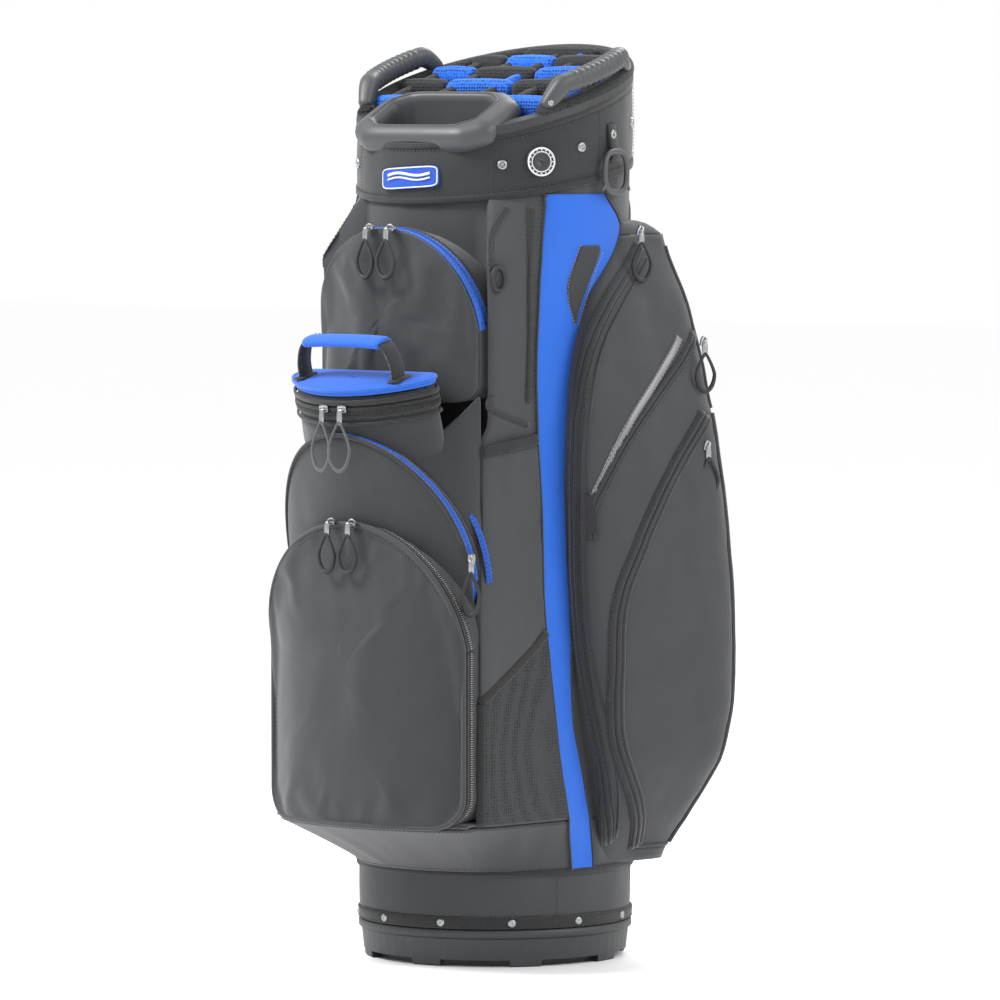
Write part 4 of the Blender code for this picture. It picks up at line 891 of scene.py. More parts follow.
def make_side_details(side, word):
    """The side pocket's zips, its reflective strip and its corded back edge."""
    surface, panel = SIDE[side], "side_panel_" + word
    main = surface.seen_knots(((0.1440, 0.7120), (0.1080, 0.6500), (0.0840, 0.5750), (0.0780, 0.4550),
                               (0.0860, 0.3050), (0.1110, 0.1180)), 0.0, 0.7)
    path, outs = surface.path(main, 0.0, 10)
    flat_zip("main_zip_" + word, path, outs, "root", 0.017, covered=True)
    beside = surface.seen_knots(((0.1520, 0.7000), (0.1180, 0.6400), (0.0960, 0.5700), (0.0900, 0.4550),
                                 (0.0980, 0.3050), (0.1200, 0.1250)), 0.0, 0.7)
    path, outs = surface.path(beside, 0.0, 10)
    dress(sweep("side_seam_" + word, path, outs, circle(0.0016, 8)), CLOTH_DARK, "root")
    curve = surface.seen_knots(PANEL_ZIP, 0.0, 0.74)
    path, outs = surface.path(curve, 0.0, 12)
    flat_zip("panel_zip_" + word, path, outs, "root", 0.016, covered=True)
    dress(sweep("panel_edge_" + word, path, outs, [(a + 0.0085 * -side, b) for a, b in circle(0.0017, 8)]),
          PIPING, panel)
    slant = ((0.1970, 0.6240), (0.1450, 0.5430), (0.1020, 0.4680), (0.0960, 0.4250))
    path, outs = surface.path(surface.seen_knots(slant, 0.0, 0.74), 0.0, 12)
    flat_zip("slant_zip_" + word, path, outs, "root", 0.012, covered=True)
    strip = ((0.1830, 0.6200), (0.1360, 0.5430), (0.0960, 0.4660))
    path, outs = surface.path(surface.seen_knots(strip, 0.0, 0.74), 0.0, 12)
    dress(sweep("reflective_strip_" + word, path, outs, band(0.0085, 0.0012)), GLINT, "root")
    for edge in (-1, 1):
        stitches("strip_seam_%s_%s" % ("ab"[edge > 0], word), path, outs, THREAD, "root", edge * 0.0036,
                 lift=0.0011)
    tab = ((0.0930, 0.4690), (0.0950, 0.4500), (0.0960, 0.4300))
    path, outs = surface.path(surface.seen_knots(tab, 0.0, 0.74), 0.0010)
    dress(sweep("slant_tab_" + word, path, outs, band(0.013, 0.0016)), TAPE_BLACK, "root")
    back = [(share_at(PANEL_BACK_Y + 0.001, z), z) for z in (0.115, 0.20, 0.30, 0.42, 0.545)]
    path, outs = surface.path(back, 0.0010)
    dress(sweep("panel_hinge_cord_" + word, path, outs, circle(0.0024, 8)), PIPING, "root")
    back = [(share_at(0.093, z), z) for z in (0.550, 0.60, 0.66, 0.71)]
    path, outs = surface.path(back, 0.0006)
    dress(sweep("side_back_cord_" + word, path, outs, circle(0.0020, 8)), PIPING, "root")
    low = [(share_at(y, 0.113), 0.113) for y in (0.040, 0.055, 0.072, 0.089)]
    path, outs = surface.path(low, 0.0004)
    dress(sweep("panel_foot_cord_" + word, path, outs, circle(0.0019, 8)), PIPING, panel)


def share_at(back, height):
    """The share along the pocket's outer line at which it is this far back."""
    low, high = 0.05, 0.74
    for _ in range(30):
        middle = (low + high) / 2
        if side_place(middle, height).y < back:
            low = middle
        else:
            high = middle
    return (low + high) / 2


# ---------------------------------------------------------------- cloth by simulation
def billow(item, pinned, pressure=2.5, frames=14, cap=0.006):
    """Blow a pinned cloth panel out a little with the cloth solver, and keep the folds it makes."""
    group = item.vertex_groups.new(name="pinned")
    group.add(pinned, 1.0, "REPLACE")
    rest = [vertex.co.copy() for vertex in item.data.vertices]
    cloth = item.modifiers.new("cloth", "CLOTH")
    settings = cloth.settings
    settings.vertex_group_mass = "pinned"
    settings.quality = 6
    settings.mass = 0.3
    settings.tension_stiffness = 25
    settings.compression_stiffness = 25
    settings.bending_stiffness = 0.4
    settings.use_pressure = True
    settings.uniform_pressure_force = pressure
    settings.effector_weights.gravity = 0.0
    scene = bpy.context.scene
    cloth.point_cache.frame_start = 1
    cloth.point_cache.frame_end = frames
    for frame_number in range(1, frames + 1):
        scene.frame_set(frame_number)
    depsgraph = bpy.context.evaluated_depsgraph_get()
    moved = [vertex.co.copy() for vertex in item.evaluated_get(depsgraph).data.vertices]
    item.modifiers.remove(cloth)
    item.vertex_groups.clear()
    for vertex, start, end in zip(item.data.vertices, rest, moved):
        step = end - start
        if step.length > cap:
            step = step.normalized() * cap
        vertex.co = start + step
    scene.frame_set(1)
    item.data.update()
    return item


# ---------------------------------------------------------------- front pockets
def make_panel(pouch, name, body, node, seed, bag=0.010):
    """A pocket's crowned cloth front; the edge is sewn down and the middle swells and sags."""
    edge = pouch.outline(0.006)
    middle = (pouch.bottom + pouch.top) / 2
    rings = 16
    rows = []
    for ring in range(rings + 1):
        share = cos(0.5 * pi * ring / (rings + 1)) ** 0.9
        row = []
        for p, _ in edge:
            line = pouch.line_y(p.x, p.y)
            rim = 1 - share ** 6
            depth = pouch.centre_y + (line - pouch.centre_y) * share ** 2.4 - 0.0032 * rim
            place = Vector((p.x * share, depth, middle + (p.y - middle) * share))
            low = max(0.0, (middle - place.z) / (middle - pouch.bottom))
            sag = bag * 0.35 * low * (1 - share ** 4)
            row.append(rumple(place, Vector((0, -1, 0)), 0.0026 * rim, 0.055, seed) - Vector((0, sag, 0)))
        rows.append(row)
    count = len(edge)
    points = [place for row in rows for place in row]
    faces = [(r * count + c, (r + 1) * count + c, (r + 1) * count + (c + 1) % count,
              r * count + (c + 1) % count)
             for r in range(rings) for c in range(count)]
    hub = len(points)
    points.append(sum(rows[-1], Vector()) / count)
    faces += [(rings * count + c, hub, rings * count + (c + 1) % count) for c in range(count)]
    item = billow(new_object(name, points, faces), list(range(count)))
    return dress(thicken(item, 0.0022, refine=1), CLOTH_PANEL, body, node)


def arch_zip(pouch, stem, setback, width, tape, teeth, start, end, body="root"):
    """The zip round a pocket's edge: tape, teeth and the stitched strips on both sides of it."""
    outs = pouch.outs(start, end)
    line = pouch.loop(setback + width / 2, 0.0, start, end)
    dress(sweep(stem + "_zip_tape", line, outs, band(width, 0.0010, 0.0014)), tape, body)
    rows = even_path(line, outs, 0.0022)
    dress(studs(stem + "_zip_teeth", rows, (0.0013, 0.0052, 0.0016), 0.0006), teeth, body)
    lip = pouch.loop(setback, 0.0008, start, end)
    dress(sweep(stem + "_zip_lip", lip, outs, circle(0.0013, 8)), tape, body)
    for edge, side in (("front", -1), ("back", 1)):
        stitches("%s_zip_seam_%s" % (stem, edge), line, outs, THREAD, body, side * width * 0.36, lift=0.0009)


def make_gusset(pouch, stem, rows_back, finish, node, seed):
    """The cloth wall from behind the zip back to the body."""
    loops = []
    for back, out in rows_back:
        loop = pouch.loop(back, out)
        loops.append([rumple(place, Vector((0, -0.2, 1)), 0.0010, 0.03, seed) if 0.004 < back else place
                      for place in loop])
    item = grid_piece(stem + "_gusset_cloth", [loop[::-1] for loop in loops], closed=True)
    return dress(thicken(item, 0.0022, refine=1), finish, "root", node)


def make_ball_pocket():
    """The large ball pocket: crowned panel, corded edge, metal-toothed zip and gusset."""
    make_panel(BALL, "ball_panel_cloth", "ball_panel", "ball_pocket_panel", 1.0)
    edge, outs = BALL.loop(-0.0006, -0.0006), BALL.outs()
    dress(sweep("ball_cord", edge, outs, circle(0.0027), closed=True), PIPING, "ball_panel")
    inner = [Vector((p.x * 0.958, p.y - 0.0022, p.z + (0.295 - p.z) * 0.036)) for p in BALL.loop()]
    forward = [Vector((0.0, -1.0, 0.0))] * len(inner)
    stitches("ball_panel_seam", inner, forward, THREAD, "ball_panel", lift=0.0006)
    make_gusset(BALL, "ball", ((0.0032, -0.0006), (0.008, 0.0), (0.020, 0.0), (0.034, -0.0012),
                               (0.060, -0.004),
                               (0.100, -0.004)), CLOTH_DARK, "ball_pocket_gusset", 3.0)
    arch_zip(BALL, "ball", 0.0035, 0.013, TAPE_BLACK, TEETH, 0.0, 1.0)


def make_top_pocket():
    """The valuables pocket under the collar, with a broad blue zip over its arch."""
    make_panel(TOP, "top_panel_cloth", "top_panel", "top_pocket_panel", 5.0, 0.005)
    edge, outs = TOP.loop(-0.0004, -0.0008), TOP.outs()
    dress(sweep("top_cord", edge, outs, circle(0.0019), closed=True), PIPING, "top_panel")
    make_gusset(TOP, "top", ((0.0032, -0.0004), (0.008, 0.0), (0.016, 0.0), (0.030, -0.001), (0.052, -0.002),
                             (0.080, -0.004)), CLOTH_BODY, "top_pocket_gusset", 7.0)
    arch_zip(TOP, "top", 0.0035, 0.017, TAPE_BLUE, COIL_BLUE, 0.0, 0.60)
    line = TOP.loop(0.0235, 0.0, 0.0, 0.60)
    dress(sweep("top_zip_binding", line, TOP.outs(0.0, 0.60), band(0.005, 0.0016)), TAPE_BLACK, "root")


# ---------------------------------------------------------------- cooler and its pocket
FLAP_HALF, FLAP_SPRING, FLAP_RISE = 0.112, 0.400, 0.130


def flap_y(x, z):
    """How far forward the cooler pocket's front is."""
    return -0.230 - 0.25 * (z - 0.443) + 0.035 * (x / FLAP_HALF) ** 2


def flap_edge(turn, grow=0.0):
    """A place on the flap's arched edge."""
    x, z = (FLAP_HALF + grow) * cos(turn), FLAP_SPRING + (FLAP_RISE + grow) * sin(turn)
    return Vector((x, flap_y(x, z), z))


def make_flap():
    """The cooler pocket: an arched front flap with a blue zip, its wall and the second zip behind."""
    rows = []
    for k in range(21):
        share_up = k / 20
        row = []
        for j in range(41):
            turn = pi * j / 40
            edge = flap_edge(turn)
            low = Vector((0.150 * cos(turn), 0.0, 0.330))
            low.x = max(-FLAP_HALF, min(FLAP_HALF, low.x))
            low.y = flap_y(low.x, 0.330) + 0.004
            place = low.lerp(edge, 1 - (1 - share_up) ** 1.0)
            place.y = flap_y(place.x, place.z) + 0.0035 * share_up ** 4
            row.append(rumple(place, Vector((0, -1, 0)), 0.0022 * (1 - share_up ** 5), 0.045, 9.0))
        rows.append(row)
    front = grid_piece("flap_cloth", rows)
    pinned = [k for k in range(41)] + [20 * 41 + k for k in range(41)]
    billow(front, pinned, -1.6, 12, 0.004)
    dress(thicken(front, 0.0022, refine=1), CLOTH_PANEL, "root", "cooler_pocket")
    turns = [pi * (k - 6) / 80 for k in range(93)]
    arch = [flap_edge(turn) for turn in turns]
    outs = [Vector((cos(turn), -0.25, sin(turn))).normalized() for turn in turns]
    dress(sweep("flap_cord", arch, outs, circle(0.0020)), CLOTH_DARK, "root")
    blue = [place + Vector((0.0, 0.0062, 0.0)) for place in arch]
    sideways = [Vector((cos(turn), 0.0, sin(turn))) for turn in turns]
    flat_zip("flap_zip", blue, sideways, "root", 0.0105, TAPE_BLUE, COIL_BLUE)
    inside = [place + Vector((0.0, 0.0140, -0.001)) for place in arch]
    dress(sweep("flap_binding", inside, sideways, band(0.006, 0.0016)), TAPE_BLACK, "root")
    for side, word in ((1, "right"), (-1, "left")):
        rows = []
        for k in range(27):
            share_up = k / 26
            start = flap_edge(-0.62 + 1.60 * share_up) + Vector((0.0, 0.0162, 0.0))
            end = Vector((0.1035 - 0.004 * share_up, -0.149, 0.335 + 0.235 * share_up))
            row = []
            for j in range(9):
                share = j / 8
                place = start.lerp(end, share) + Vector((0.0045 * sin(pi * share), 0.0, 0.0))
                place = rumple(place, Vector((1, 0, 0.4)), 0.0020 * sin(pi * share), 0.03, 11.0)
                row.append(place if side > 0 else mirrored(place))
            rows.append(row if side > 0 else row[::-1])
        wall = thicken(grid_piece("flap_wall_" + word, rows), 0.002, refine=1)
        dress(wall, CLOTH_DARK, "root")
        second, out = [], []
        for k in range(24):
            turn = -0.10 + 1.02 * k / 23
            place = Vector((0.1195 * cos(turn), -0.163 - 0.022 * sin(turn), 0.398 + 0.118 * sin(turn)))
            second.append(place if side > 0 else mirrored(place))
            away = Vector((cos(turn), 0.0, sin(turn) * 0.9)).normalized()
            out.append(away if side > 0 else mirrored(away))
        flat_zip("inner_zip_" + word, second, out, "root", 0.0085, TAPE_BLUE, COIL_BLUE)


COOLER_TILT = radians(14)
COOLER_PLACE = Matrix.Translation((0.0, -0.1044, 0.370)) @ Matrix.Rotation(COOLER_TILT, 4, "X")
COOLER_FRONT, COOLER_HALF, COOLER_CORNER, COOLER_HEIGHT = 0.100, 0.085, 0.015, 0.228


def cooler_loop(grow, height, steps=44):
    """The cooler's outline at a height, with its outward directions: a round front and a flat back."""
    front, corner = COOLER_FRONT + grow, COOLER_CORNER + grow
    reach = COOLER_FRONT - COOLER_CORNER
    swing = asin((COOLER_HALF - COOLER_CORNER) / reach)
    side = Vector((reach * sin(swing), -reach * cos(swing)))
    turns = [((0.0, 0.0), front, -pi / 2 - swing + 2 * swing * k / steps) for k in range(steps + 1)]
    turns += [((side.x, side.y), corner, -pi / 2 + swing + (pi - swing) * k / 12) for k in range(1, 13)]
    turns += [((side.x * (1 - 2 * k / 12), side.y), corner, pi / 2) for k in range(1, 12)]
    turns += [((-side.x, side.y), corner, pi / 2 + (pi - swing) * k / 12) for k in range(12)]
    places, outs = [], []
    for (cx, cy), radius, turn in turns:
        places.append(COOLER_PLACE @ Vector((cx + radius * cos(turn), cy + radius * sin(turn), height)))
        outs.append((COOLER_PLACE.to_3x3() @ Vector((cos(turn), sin(turn), 0.0))).normalized())
    return places, outs


def make_cooler():
    """The cooler pouch: soft walls, a zip right round below the lid, and a piped blue lid."""
    rows = []
    for k in range(31):
        height = 0.001 + (COOLER_HEIGHT - 0.002) * k / 30
        share = k / 30
        places, outs = cooler_loop(-0.0022 * (1 - sin(pi * share)), height)
        rows.append([rumple(p, o, 0.0016 * sin(pi * share), 0.035, 13.0) for p, o in zip(places, outs)])
    floor_row = [rows[0][0].lerp(sum(rows[0], Vector()) / len(rows[0]), 1.0)] * len(rows[0])
    shell = grid_piece("cooler_cloth", [floor_row] + rows, closed=True)
    dress(thicken(shell, 0.0045), CLOTH_PANEL, "cooler", "cooler_body")
    for name, height, width in (("low", 0.2010, 0.0030), ("high", 0.2225, 0.0050)):
        path, outs = cooler_loop(0.0006, height)
        dress(sweep("cooler_band_" + name, path, outs, band(width, 0.0016), closed=True), TAPE_BLACK,
              "cooler")
    path, outs = cooler_loop(0.0, 0.2120)
    path, outs = path + path[:1], outs + outs[:1]
    flat_zip("cooler_zip", path, outs, "cooler", 0.0115, TAPE_BLACK, COIL)
    low = COOLER_HEIGHT + 0.0006
    middle = sum(cooler_loop(0.0, low)[0], Vector()) / len(cooler_loop(0.0, low)[0])
    rows = []
    for share, height in ((0.985, low), (1.0, low + 0.0015), (1.0, low + 0.0055), (0.975, low + 0.0080),
                          (0.90, low + 0.0088), (0.70, low + 0.0096), (0.45, low + 0.0102),
                          (0.20, low + 0.0104),
                          (0.02, low + 0.0105)):
        places, _ = cooler_loop(0.0, height)
        centre = COOLER_PLACE @ Vector((0.0, (COOLER_PLACE.inverted() @ middle).y, height))
        rows.append([centre + (p - centre) * share for p in places])
    lid = grid_piece("cooler_lid_cloth", rows, closed=True)
    dress(thicken(lid, 0.0020, refine=1), CLOTH_BLUE, "cooler_lid", "cooler_lid")
    path, outs = cooler_loop(0.0004, low + 0.0060)
    dress(sweep("cooler_lid_cord", path, outs, circle(0.0019), closed=True), TAPE_BLUE, "cooler_lid")
    make_cooler_handle(low + 0.0105)


def make_cooler_handle(seat):
    """The carry strap: black webbing ends sewn to the lid and a blue wrapped grip."""
    middle_y = -0.0666
    half, rise = 0.058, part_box("cooler_handle")[1].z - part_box("cooler_lid")[1].z
    rise = max(0.028, min(0.040, rise))
    knots = [(-half, 0.000), (-half * 0.99, 0.016), (-half * 0.86, rise * 0.86), (-half * 0.60, rise * 0.94),
             (0.0, rise * 0.96), (half * 0.60, rise * 0.94), (half * 0.86, rise * 0.86),
             (half * 0.99, 0.016),
             (half, 0.000)]
    path = smooth_path([COOLER_PLACE @ Vector((x, middle_y, seat + z)) for x, z in knots], 8)
    turn = COOLER_PLACE.to_3x3()
    outs = []
    for k in range(len(path)):
        ahead, behind = path[min(k + 1, len(path) - 1)], path[max(k - 1, 0)]
        outs.append((ahead - behind).cross(turn @ Vector((0.0, -1.0, 0.0))).normalized() * -1)
    strap = sweep("cooler_strap", path, outs, band(0.019, 0.0022, 0.0010))
    dress(strap, TAPE_BLACK, "cooler_handle", "cooler_handle")
    grip_path = path[18:47]
    scale = [1.0 if 1 < k < len(grip_path) - 2 else 0.93 for k in range(len(grip_path))]
    section = [(0.0125 * cos(2 * pi * k / 16), 0.0058 * sin(2 * pi * k / 16)) for k in range(16)]
    grip = sweep("cooler_grip", grip_path, outs[18:47], section, scale=scale)
    dress(grip, CLOTH_BLUE, "cooler_handle")
    stitches("cooler_grip_seam", grip_path[2:-2], outs[20:45], THREAD, "cooler_handle", -0.006, lift=0.0052)
    for side in (-1, 1):
        base = COOLER_PLACE @ Vector((side * (half + 0.001), middle_y, seat - 0.0006))
        along = turn @ Vector((0.0, 1.0, 0.0))
        path = [base - along * 0.012, base + along * 0.012]
        up = [turn @ Vector((0.0, 0.0, 1.0))] * 2
        name = "left" if side < 0 else "right"
        dress(sweep("cooler_tab_" + name, path, up, band(0.012, 0.0018)), TAPE_BLACK, "cooler_lid")


def make_barrel_shade():
    """A dark cloth sheet over the barrel behind the cooler and the ball pocket: painted shade for the gaps
    round the cooler.
    """
    rows = []
    for k in range(46):
        height = BALL.bottom + 0.003 + (0.600 - BALL.bottom) * k / 45
        row = []
        for j in range(41):
            turn = -1.02 + 2.04 * j / 40
            place = around(turn, BARREL_R - 0.0014, height)
            row.append(rumple(place, around(turn, 1.0, 0.0), 0.0008, 0.04, 29.0))
        rows.append(row)
    # Painted shade: this sheet is darker than the body cloth and stands in for the shade behind the cooler
    # and the pockets.
    dress(thicken(grid_piece("barrel_front_cloth", rows), 0.0012, refine=1), CLOTH_DARK)


def make_pocket_floor():
    """The cloth floor under the ball pocket's rounded lower corners."""
    rows = []
    for share in (1.0, 0.97, 0.8, 0.5, 0.02):
        row = []
        for k in range(61):
            x = BALL.half_width * (-1 + 2 * k / 60)
            front = BALL.line_y(x, BALL.bottom) + 0.006
            y = -0.150 + (front + 0.150) * share
            row.append(Vector((x * (1 - 0.003), y, BALL.bottom + (0.0012 if share < 1.0 else -0.0002))))
        rows.append(row)
    dress(thicken(grid_piece("ball_pocket_floor", rows[::-1]), 0.0022), CLOTH_BODY)


# ---------------------------------------------------------------- base
def paint(node, finish):
    """Give a carried-over CAD node its material."""
    item = NODES[node]
    item.data.materials.clear()
    item.data.materials.append(finish)


def ring_rows(levels, steps=144, fold=0.0):
    """Rings round the axis from (radius, height) levels, with faint folds if asked."""
    rows = []
    for radius, height in levels:
        row = []
        for k in range(steps):
            turn = 2 * pi * k / steps
            place = around(turn, radius, height)
            row.append(rumple(place, around(turn, 1.0, 0.0), fold, 0.05, 17.0) if fold else place)
        rows.append(row)
    return rows


def make_base():
    """The moulded foot, its webbing band with rivets, and the cloth sleeve above it."""
    paint("base_cup", BASE_PLASTIC)
    cup, ribbon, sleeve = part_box("base_cup"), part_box("base_band"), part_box("base_sleeve")
    rim = cup[1].x
    lip = ring_rows(((rim - 0.001, cup[1].z - 0.010), (rim + 0.0012, cup[1].z - 0.008),
                     (rim + 0.0012, cup[1].z - 0.002), (rim - 0.001, cup[1].z)))
    dress(thicken(grid_piece("base_lip", lip, closed=True), 0.0012), BASE_PLASTIC)
    levels = [(sleeve[1].x - 0.0004, sleeve[0].z + (sleeve[1].z - sleeve[0].z) * k / 12) for k in range(13)]
    cloth = grid_piece("base_sleeve_cloth", ring_rows(levels, fold=0.0012), closed=True)
    dress(thicken(cloth, 0.0020, refine=1), CLOTH_BODY, "root", "base_sleeve")
    middle, reach = (ribbon[0].z + ribbon[1].z) / 2, ribbon[1].x
    turns = [2 * pi * k / 120 for k in range(121)]
    path = [around(turn, reach - 0.0012, middle) for turn in turns]
    outs = [around(turn, 1.0, 0.0) for turn in turns]
    height = ribbon[1].z - ribbon[0].z
    webbing_band = sweep("base_webbing", path[:-1], outs[:-1], band(height, 0.0022), closed=True)
    dress(webbing_band, TAPE_BLACK, "root", "base_band")
    for edge in (-1, 1):
        stitches("base_seam_" + "ab"[edge > 0], path, outs, THREAD, "root", edge * height * 0.38,
                 lift=0.0020)
    rivets = []
    for k in range(12):
        turn = radians(15 + 30 * k)
        rivets.append((around(turn, reach + 0.0008, middle), around(turn, 1.0, 0.0)))
    make_discs("base_rivet", rivets, 0.0042, 0.0018, STEEL)
    for side, word in ((1, "right"), (-1, "left")):
        turn = side * 1.13
        path = [around(turn, BARREL_R + 0.0028, z) for z in (sleeve[0].z, middle, sleeve[1].z)]
        outs = [around(turn, 1.0, 0.0)] * 3
        stitches("base_sleeve_seam_" + word, path, outs, THREAD, "root")


def make_discs(name, seats, radius, height, finish, hole=0.0, body="root"):
    """Round studs or eyelets, turned from a small profile and set on their seats, as one piece."""
    profile = [(hole, 0.2), (hole + 0.12, 0.85), (0.55, 1.0), (0.86, 0.75), (1.0, 0.25), (1.0, -0.3)]
    points, faces = [], []
    steps = 20
    for place, out in seats:
        out = out.normalized()
        side = out.cross(Vector((0, 0, 1)))
        side = side.normalized() if side.length > 0.1 else Vector((1, 0, 0))
        up = side.cross(out)
        base = len(points)
        for reach, rise in profile:
            for k in range(steps):
                turn = 2 * pi * k / steps
                points.append(place + (side * cos(turn) + up * sin(turn)) * reach * radius
                              + out * rise * height)
        for r in range(len(profile) - 1):
            for k in range(steps):
                after = (k + 1) % steps
                faces.append((base + r * steps + k, base + r * steps + after,
                              base + (r + 1) * steps + after, base + (r + 1) * steps + k))
        faces.append(tuple(base + k for k in range(steps))[::-1])
    return dress(new_object(name, points, faces), finish, body)


# ---------------------------------------------------------------- collar
CUFF_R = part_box("collar_cuff")[1].x
RIM_SLOPE, FOOT_SLOPE = 0.31, 0.164
RIM_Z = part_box("collar_cuff")[1].z - RIM_SLOPE * CUFF_R
FOOT_Z = 0.7776


def rim_z(y):
    """The height of the cuff's slanted top edge."""
    return RIM_Z + RIM_SLOPE * y


def foot_z(y):
    """The height of the cuff's slanted lower edge."""
    return FOOT_Z + FOOT_SLOPE * y


def cuff_place(angle, share, lift=0.0):
    """A place on the cuff, from its lower edge at 0 to its top edge at 1."""
    base = around(angle, CUFF_R, 0.0)
    height = foot_z(base.y) + (rim_z(base.y) - foot_z(base.y)) * share
    swell = 0.0012 * sin(pi * share)
    place = around(angle, CUFF_R - 0.0008 + swell + lift, height)
    return rumple(place, around(angle, 1.0, 0.0), 0.0007, 0.03, 19.0)


def make_cuff():
    """The cloth cuff under the rim, its bound edges, seams and snaps."""
    turns = [2 * pi * k / 150 for k in range(150)]
    rows = [[cuff_place(turn, k / 12) for turn in turns] for k in range(13)]
    dress(thicken(grid_piece("cuff_cloth", rows, closed=True), 0.0024, refine=1), CLOTH_CUFF, "root",
          "collar_cuff")
    full = turns + [turns[0]]
    for name, share, width in (("low", 0.035, 0.007), ("high", 0.975, 0.006)):
        path = [cuff_place(turn, share, 0.0004) for turn in turns]
        outs = [around(turn, 1.0, 0.0) for turn in turns]
        dress(sweep("cuff_binding_" + name, path, outs, band(width, 0.0014), closed=True), TAPE_BLACK,
              "root")
    for name, share in (("low", 0.11), ("middle", 0.90)):
        path = [cuff_place(turn, share, 0.0004) for turn in full]
        stitches("cuff_seam_" + name, path, [around(turn, 1.0, 0.0) for turn in full], THREAD, "root")
    for side, word in ((1, "right"), (-1, "left")):
        for index, degrees_round in enumerate((36, 86, 128)):
            turn = side * radians(degrees_round)
            path = [cuff_place(turn, share / 6, 0.0004) for share in range(7)]
            outs = [around(turn, 1.0, 0.0)] * 7
            stitches("cuff_join_%d_%s" % (index, word), path, outs, THREAD, "root", 0.0012, 0.0035)
    seats = [(cuff_place(side * radians(turn), 0.52, 0.0004), around(side * radians(turn), 1.0, 0.0))
             for turn in (41, 76, 118, 150) for side in (-1, 1)]
    make_discs("cuff_snap", seats, 0.0052, 0.0026, STEEL, 0.38)


def make_badge():
    """A raised name plate with a plain wave instead of a word, and a round badge of plain rings."""
    low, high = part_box("front_badge")
    middle = (low.z + high.z) / 2
    half = (high.x - low.x) / 2 / CUFF_R
    height = high.z - low.z
    reach = -low.y
    rows = []
    for inset, lift in ((0.0, -0.0022), (0.0, -0.0004), (0.0012, 0.0002), (0.003, 0.0003)):
        ring = []
        for k in range(72):
            turn = 2 * pi * k / 72
            x, z = cos(turn), sin(turn)
            shape = (abs(x) ** 7 + abs(z) ** 7) ** (-1 / 7)
            ring.append((x * shape * (half * CUFF_R - inset), z * shape * (height / 2 - inset), lift))
        rows.append([around(a / CUFF_R, reach + lift, middle + b + 0.06 * a) for a, b, lift in ring])
    rows.append([around(0.0, reach + 0.0003, middle)] * 72)
    plate = grid_piece("badge_plate", rows, closed=True)
    dress(plate, BADGE_BLUE, "root", "front_badge")
    frame_row = [place + Vector((0, -0.0003, 0)) for place in rows[2]]
    outs = [Vector((place.x, place.y, 0)).normalized() for place in frame_row]
    dress(sweep("badge_frame", frame_row, outs, circle(0.0007, 8), closed=True), BADGE_WHITE, "root")
    for index, drop in enumerate((0.0034, -0.0010)):
        path = [around((-0.026 + 0.052 * k / 30) / CUFF_R, reach + 0.0006,
                       middle + drop + 0.0018 * sin(2 * pi * k / 30) + 0.06 * (-0.026 + 0.052 * k / 30))
                for k in range(31)]
        outs = [Vector((place.x, place.y, 0)).normalized() for place in path]
        dress(sweep("badge_wave_%d" % index, path, outs, band(0.0026 - index * 0.0008, 0.0006)),
              BADGE_WHITE, "root")
    low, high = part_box("medallion")
    seat = (low + high) / 2
    angle = atan2(seat.x, -seat.y)
    radius = (high.z - low.z) / 2
    out = around(angle, 1.0, 0.0)
    base = around(angle, CUFF_R + 0.0006, seat.z)
    medal = make_discs("medallion_disc", [(base, out)], radius, 0.0030, PLASTIC_DARK)
    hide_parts("medallion")
    side = out.cross(Vector((0, 0, 1))).normalized()
    up = side.cross(out)
    for index, (share, thick) in enumerate(((0.90, 0.0009), (0.66, 0.0006))):
        loop = [base + (side * cos(2 * pi * k / 48) + up * sin(2 * pi * k / 48)) * radius * share
                + out * 0.0026
                for k in range(48)]
        dress(sweep("medallion_ring_%d" % index, loop, [out] * 48, circle(thick, 8), closed=True),
              BADGE_WHITE)
    seats = [(base + (side * cos(2 * pi * k / 16) + up * sin(2 * pi * k / 16)) * radius * 0.785
              + out * 0.0018, out)
             for k in range(16)]
    make_discs("medallion_dots", seats, 0.0009, 0.0012, BADGE_WHITE)


def make_rim():
    """The moulded ring, and the padded mesh roll on it behind the handles."""
    paint("collar_ring", PLASTIC_DARK)
    turns = [radians(58) + (2 * pi - radians(116)) * k / 110 for k in range(111)]
    path, outs = [], []
    for turn in turns:
        place = around(turn, 0.1295, 0.0)
        path.append(Vector((place.x, place.y, rim_z(place.y) + 0.0080)))
        outs.append(Vector((0.0, -RIM_SLOPE, 1.0)).normalized())
    roll = sweep("rim_roll", path, outs, [(0.0092 * cos(2 * pi * k / 16),
                                           0.0072 * sin(2 * pi * k / 16) + 0.001)
                                          for k in range(16)])
    dress(roll, MESH_BLACK)
    stitches("rim_roll_seam", [p + Vector((p.x, p.y, 0)).normalized() * 0.0088 for p in path],
             [Vector((p.x, p.y, 0)).normalized() for p in path], THREAD, "root")


RING_R = 0.1225
ROWS_OF_SLOTS = ((-0.0445, 0.0070, 4), (0.0070, 0.0465, 4), (0.0465, 0.0830, 4), (0.0830, 0.1110, 2))


def divider_roll(name, start, end, half, rise, finish):
    """One padded wall between two slots, crowned and rounded at its ends."""
    path, outs, scale = [], [], []
    for k in range(21):
        place = start.lerp(end, k / 20)
        puff = 0.0016 * sin(pi * k / 20)
        path.append(Vector((place.x, place.y, rim_z(place.y) + 0.0065 + puff)))
        outs.append(Vector((0.0, -RIM_SLOPE, 1.0)).normalized())
        scale.append(0.45 + 0.55 * min(1.0, sin(pi * (0.02 + 0.96 * k / 20)) * 3.2) ** 0.5)
    section = [(half * cos(turn), rise * sin(turn)) for turn in [pi * k / 12 for k in range(13)]]
    section += [(-half * 0.8, -0.0240), (half * 0.8, -0.0240)]
    dress(sweep(name, path, outs, section, scale=scale), finish, "root", "divider_top")


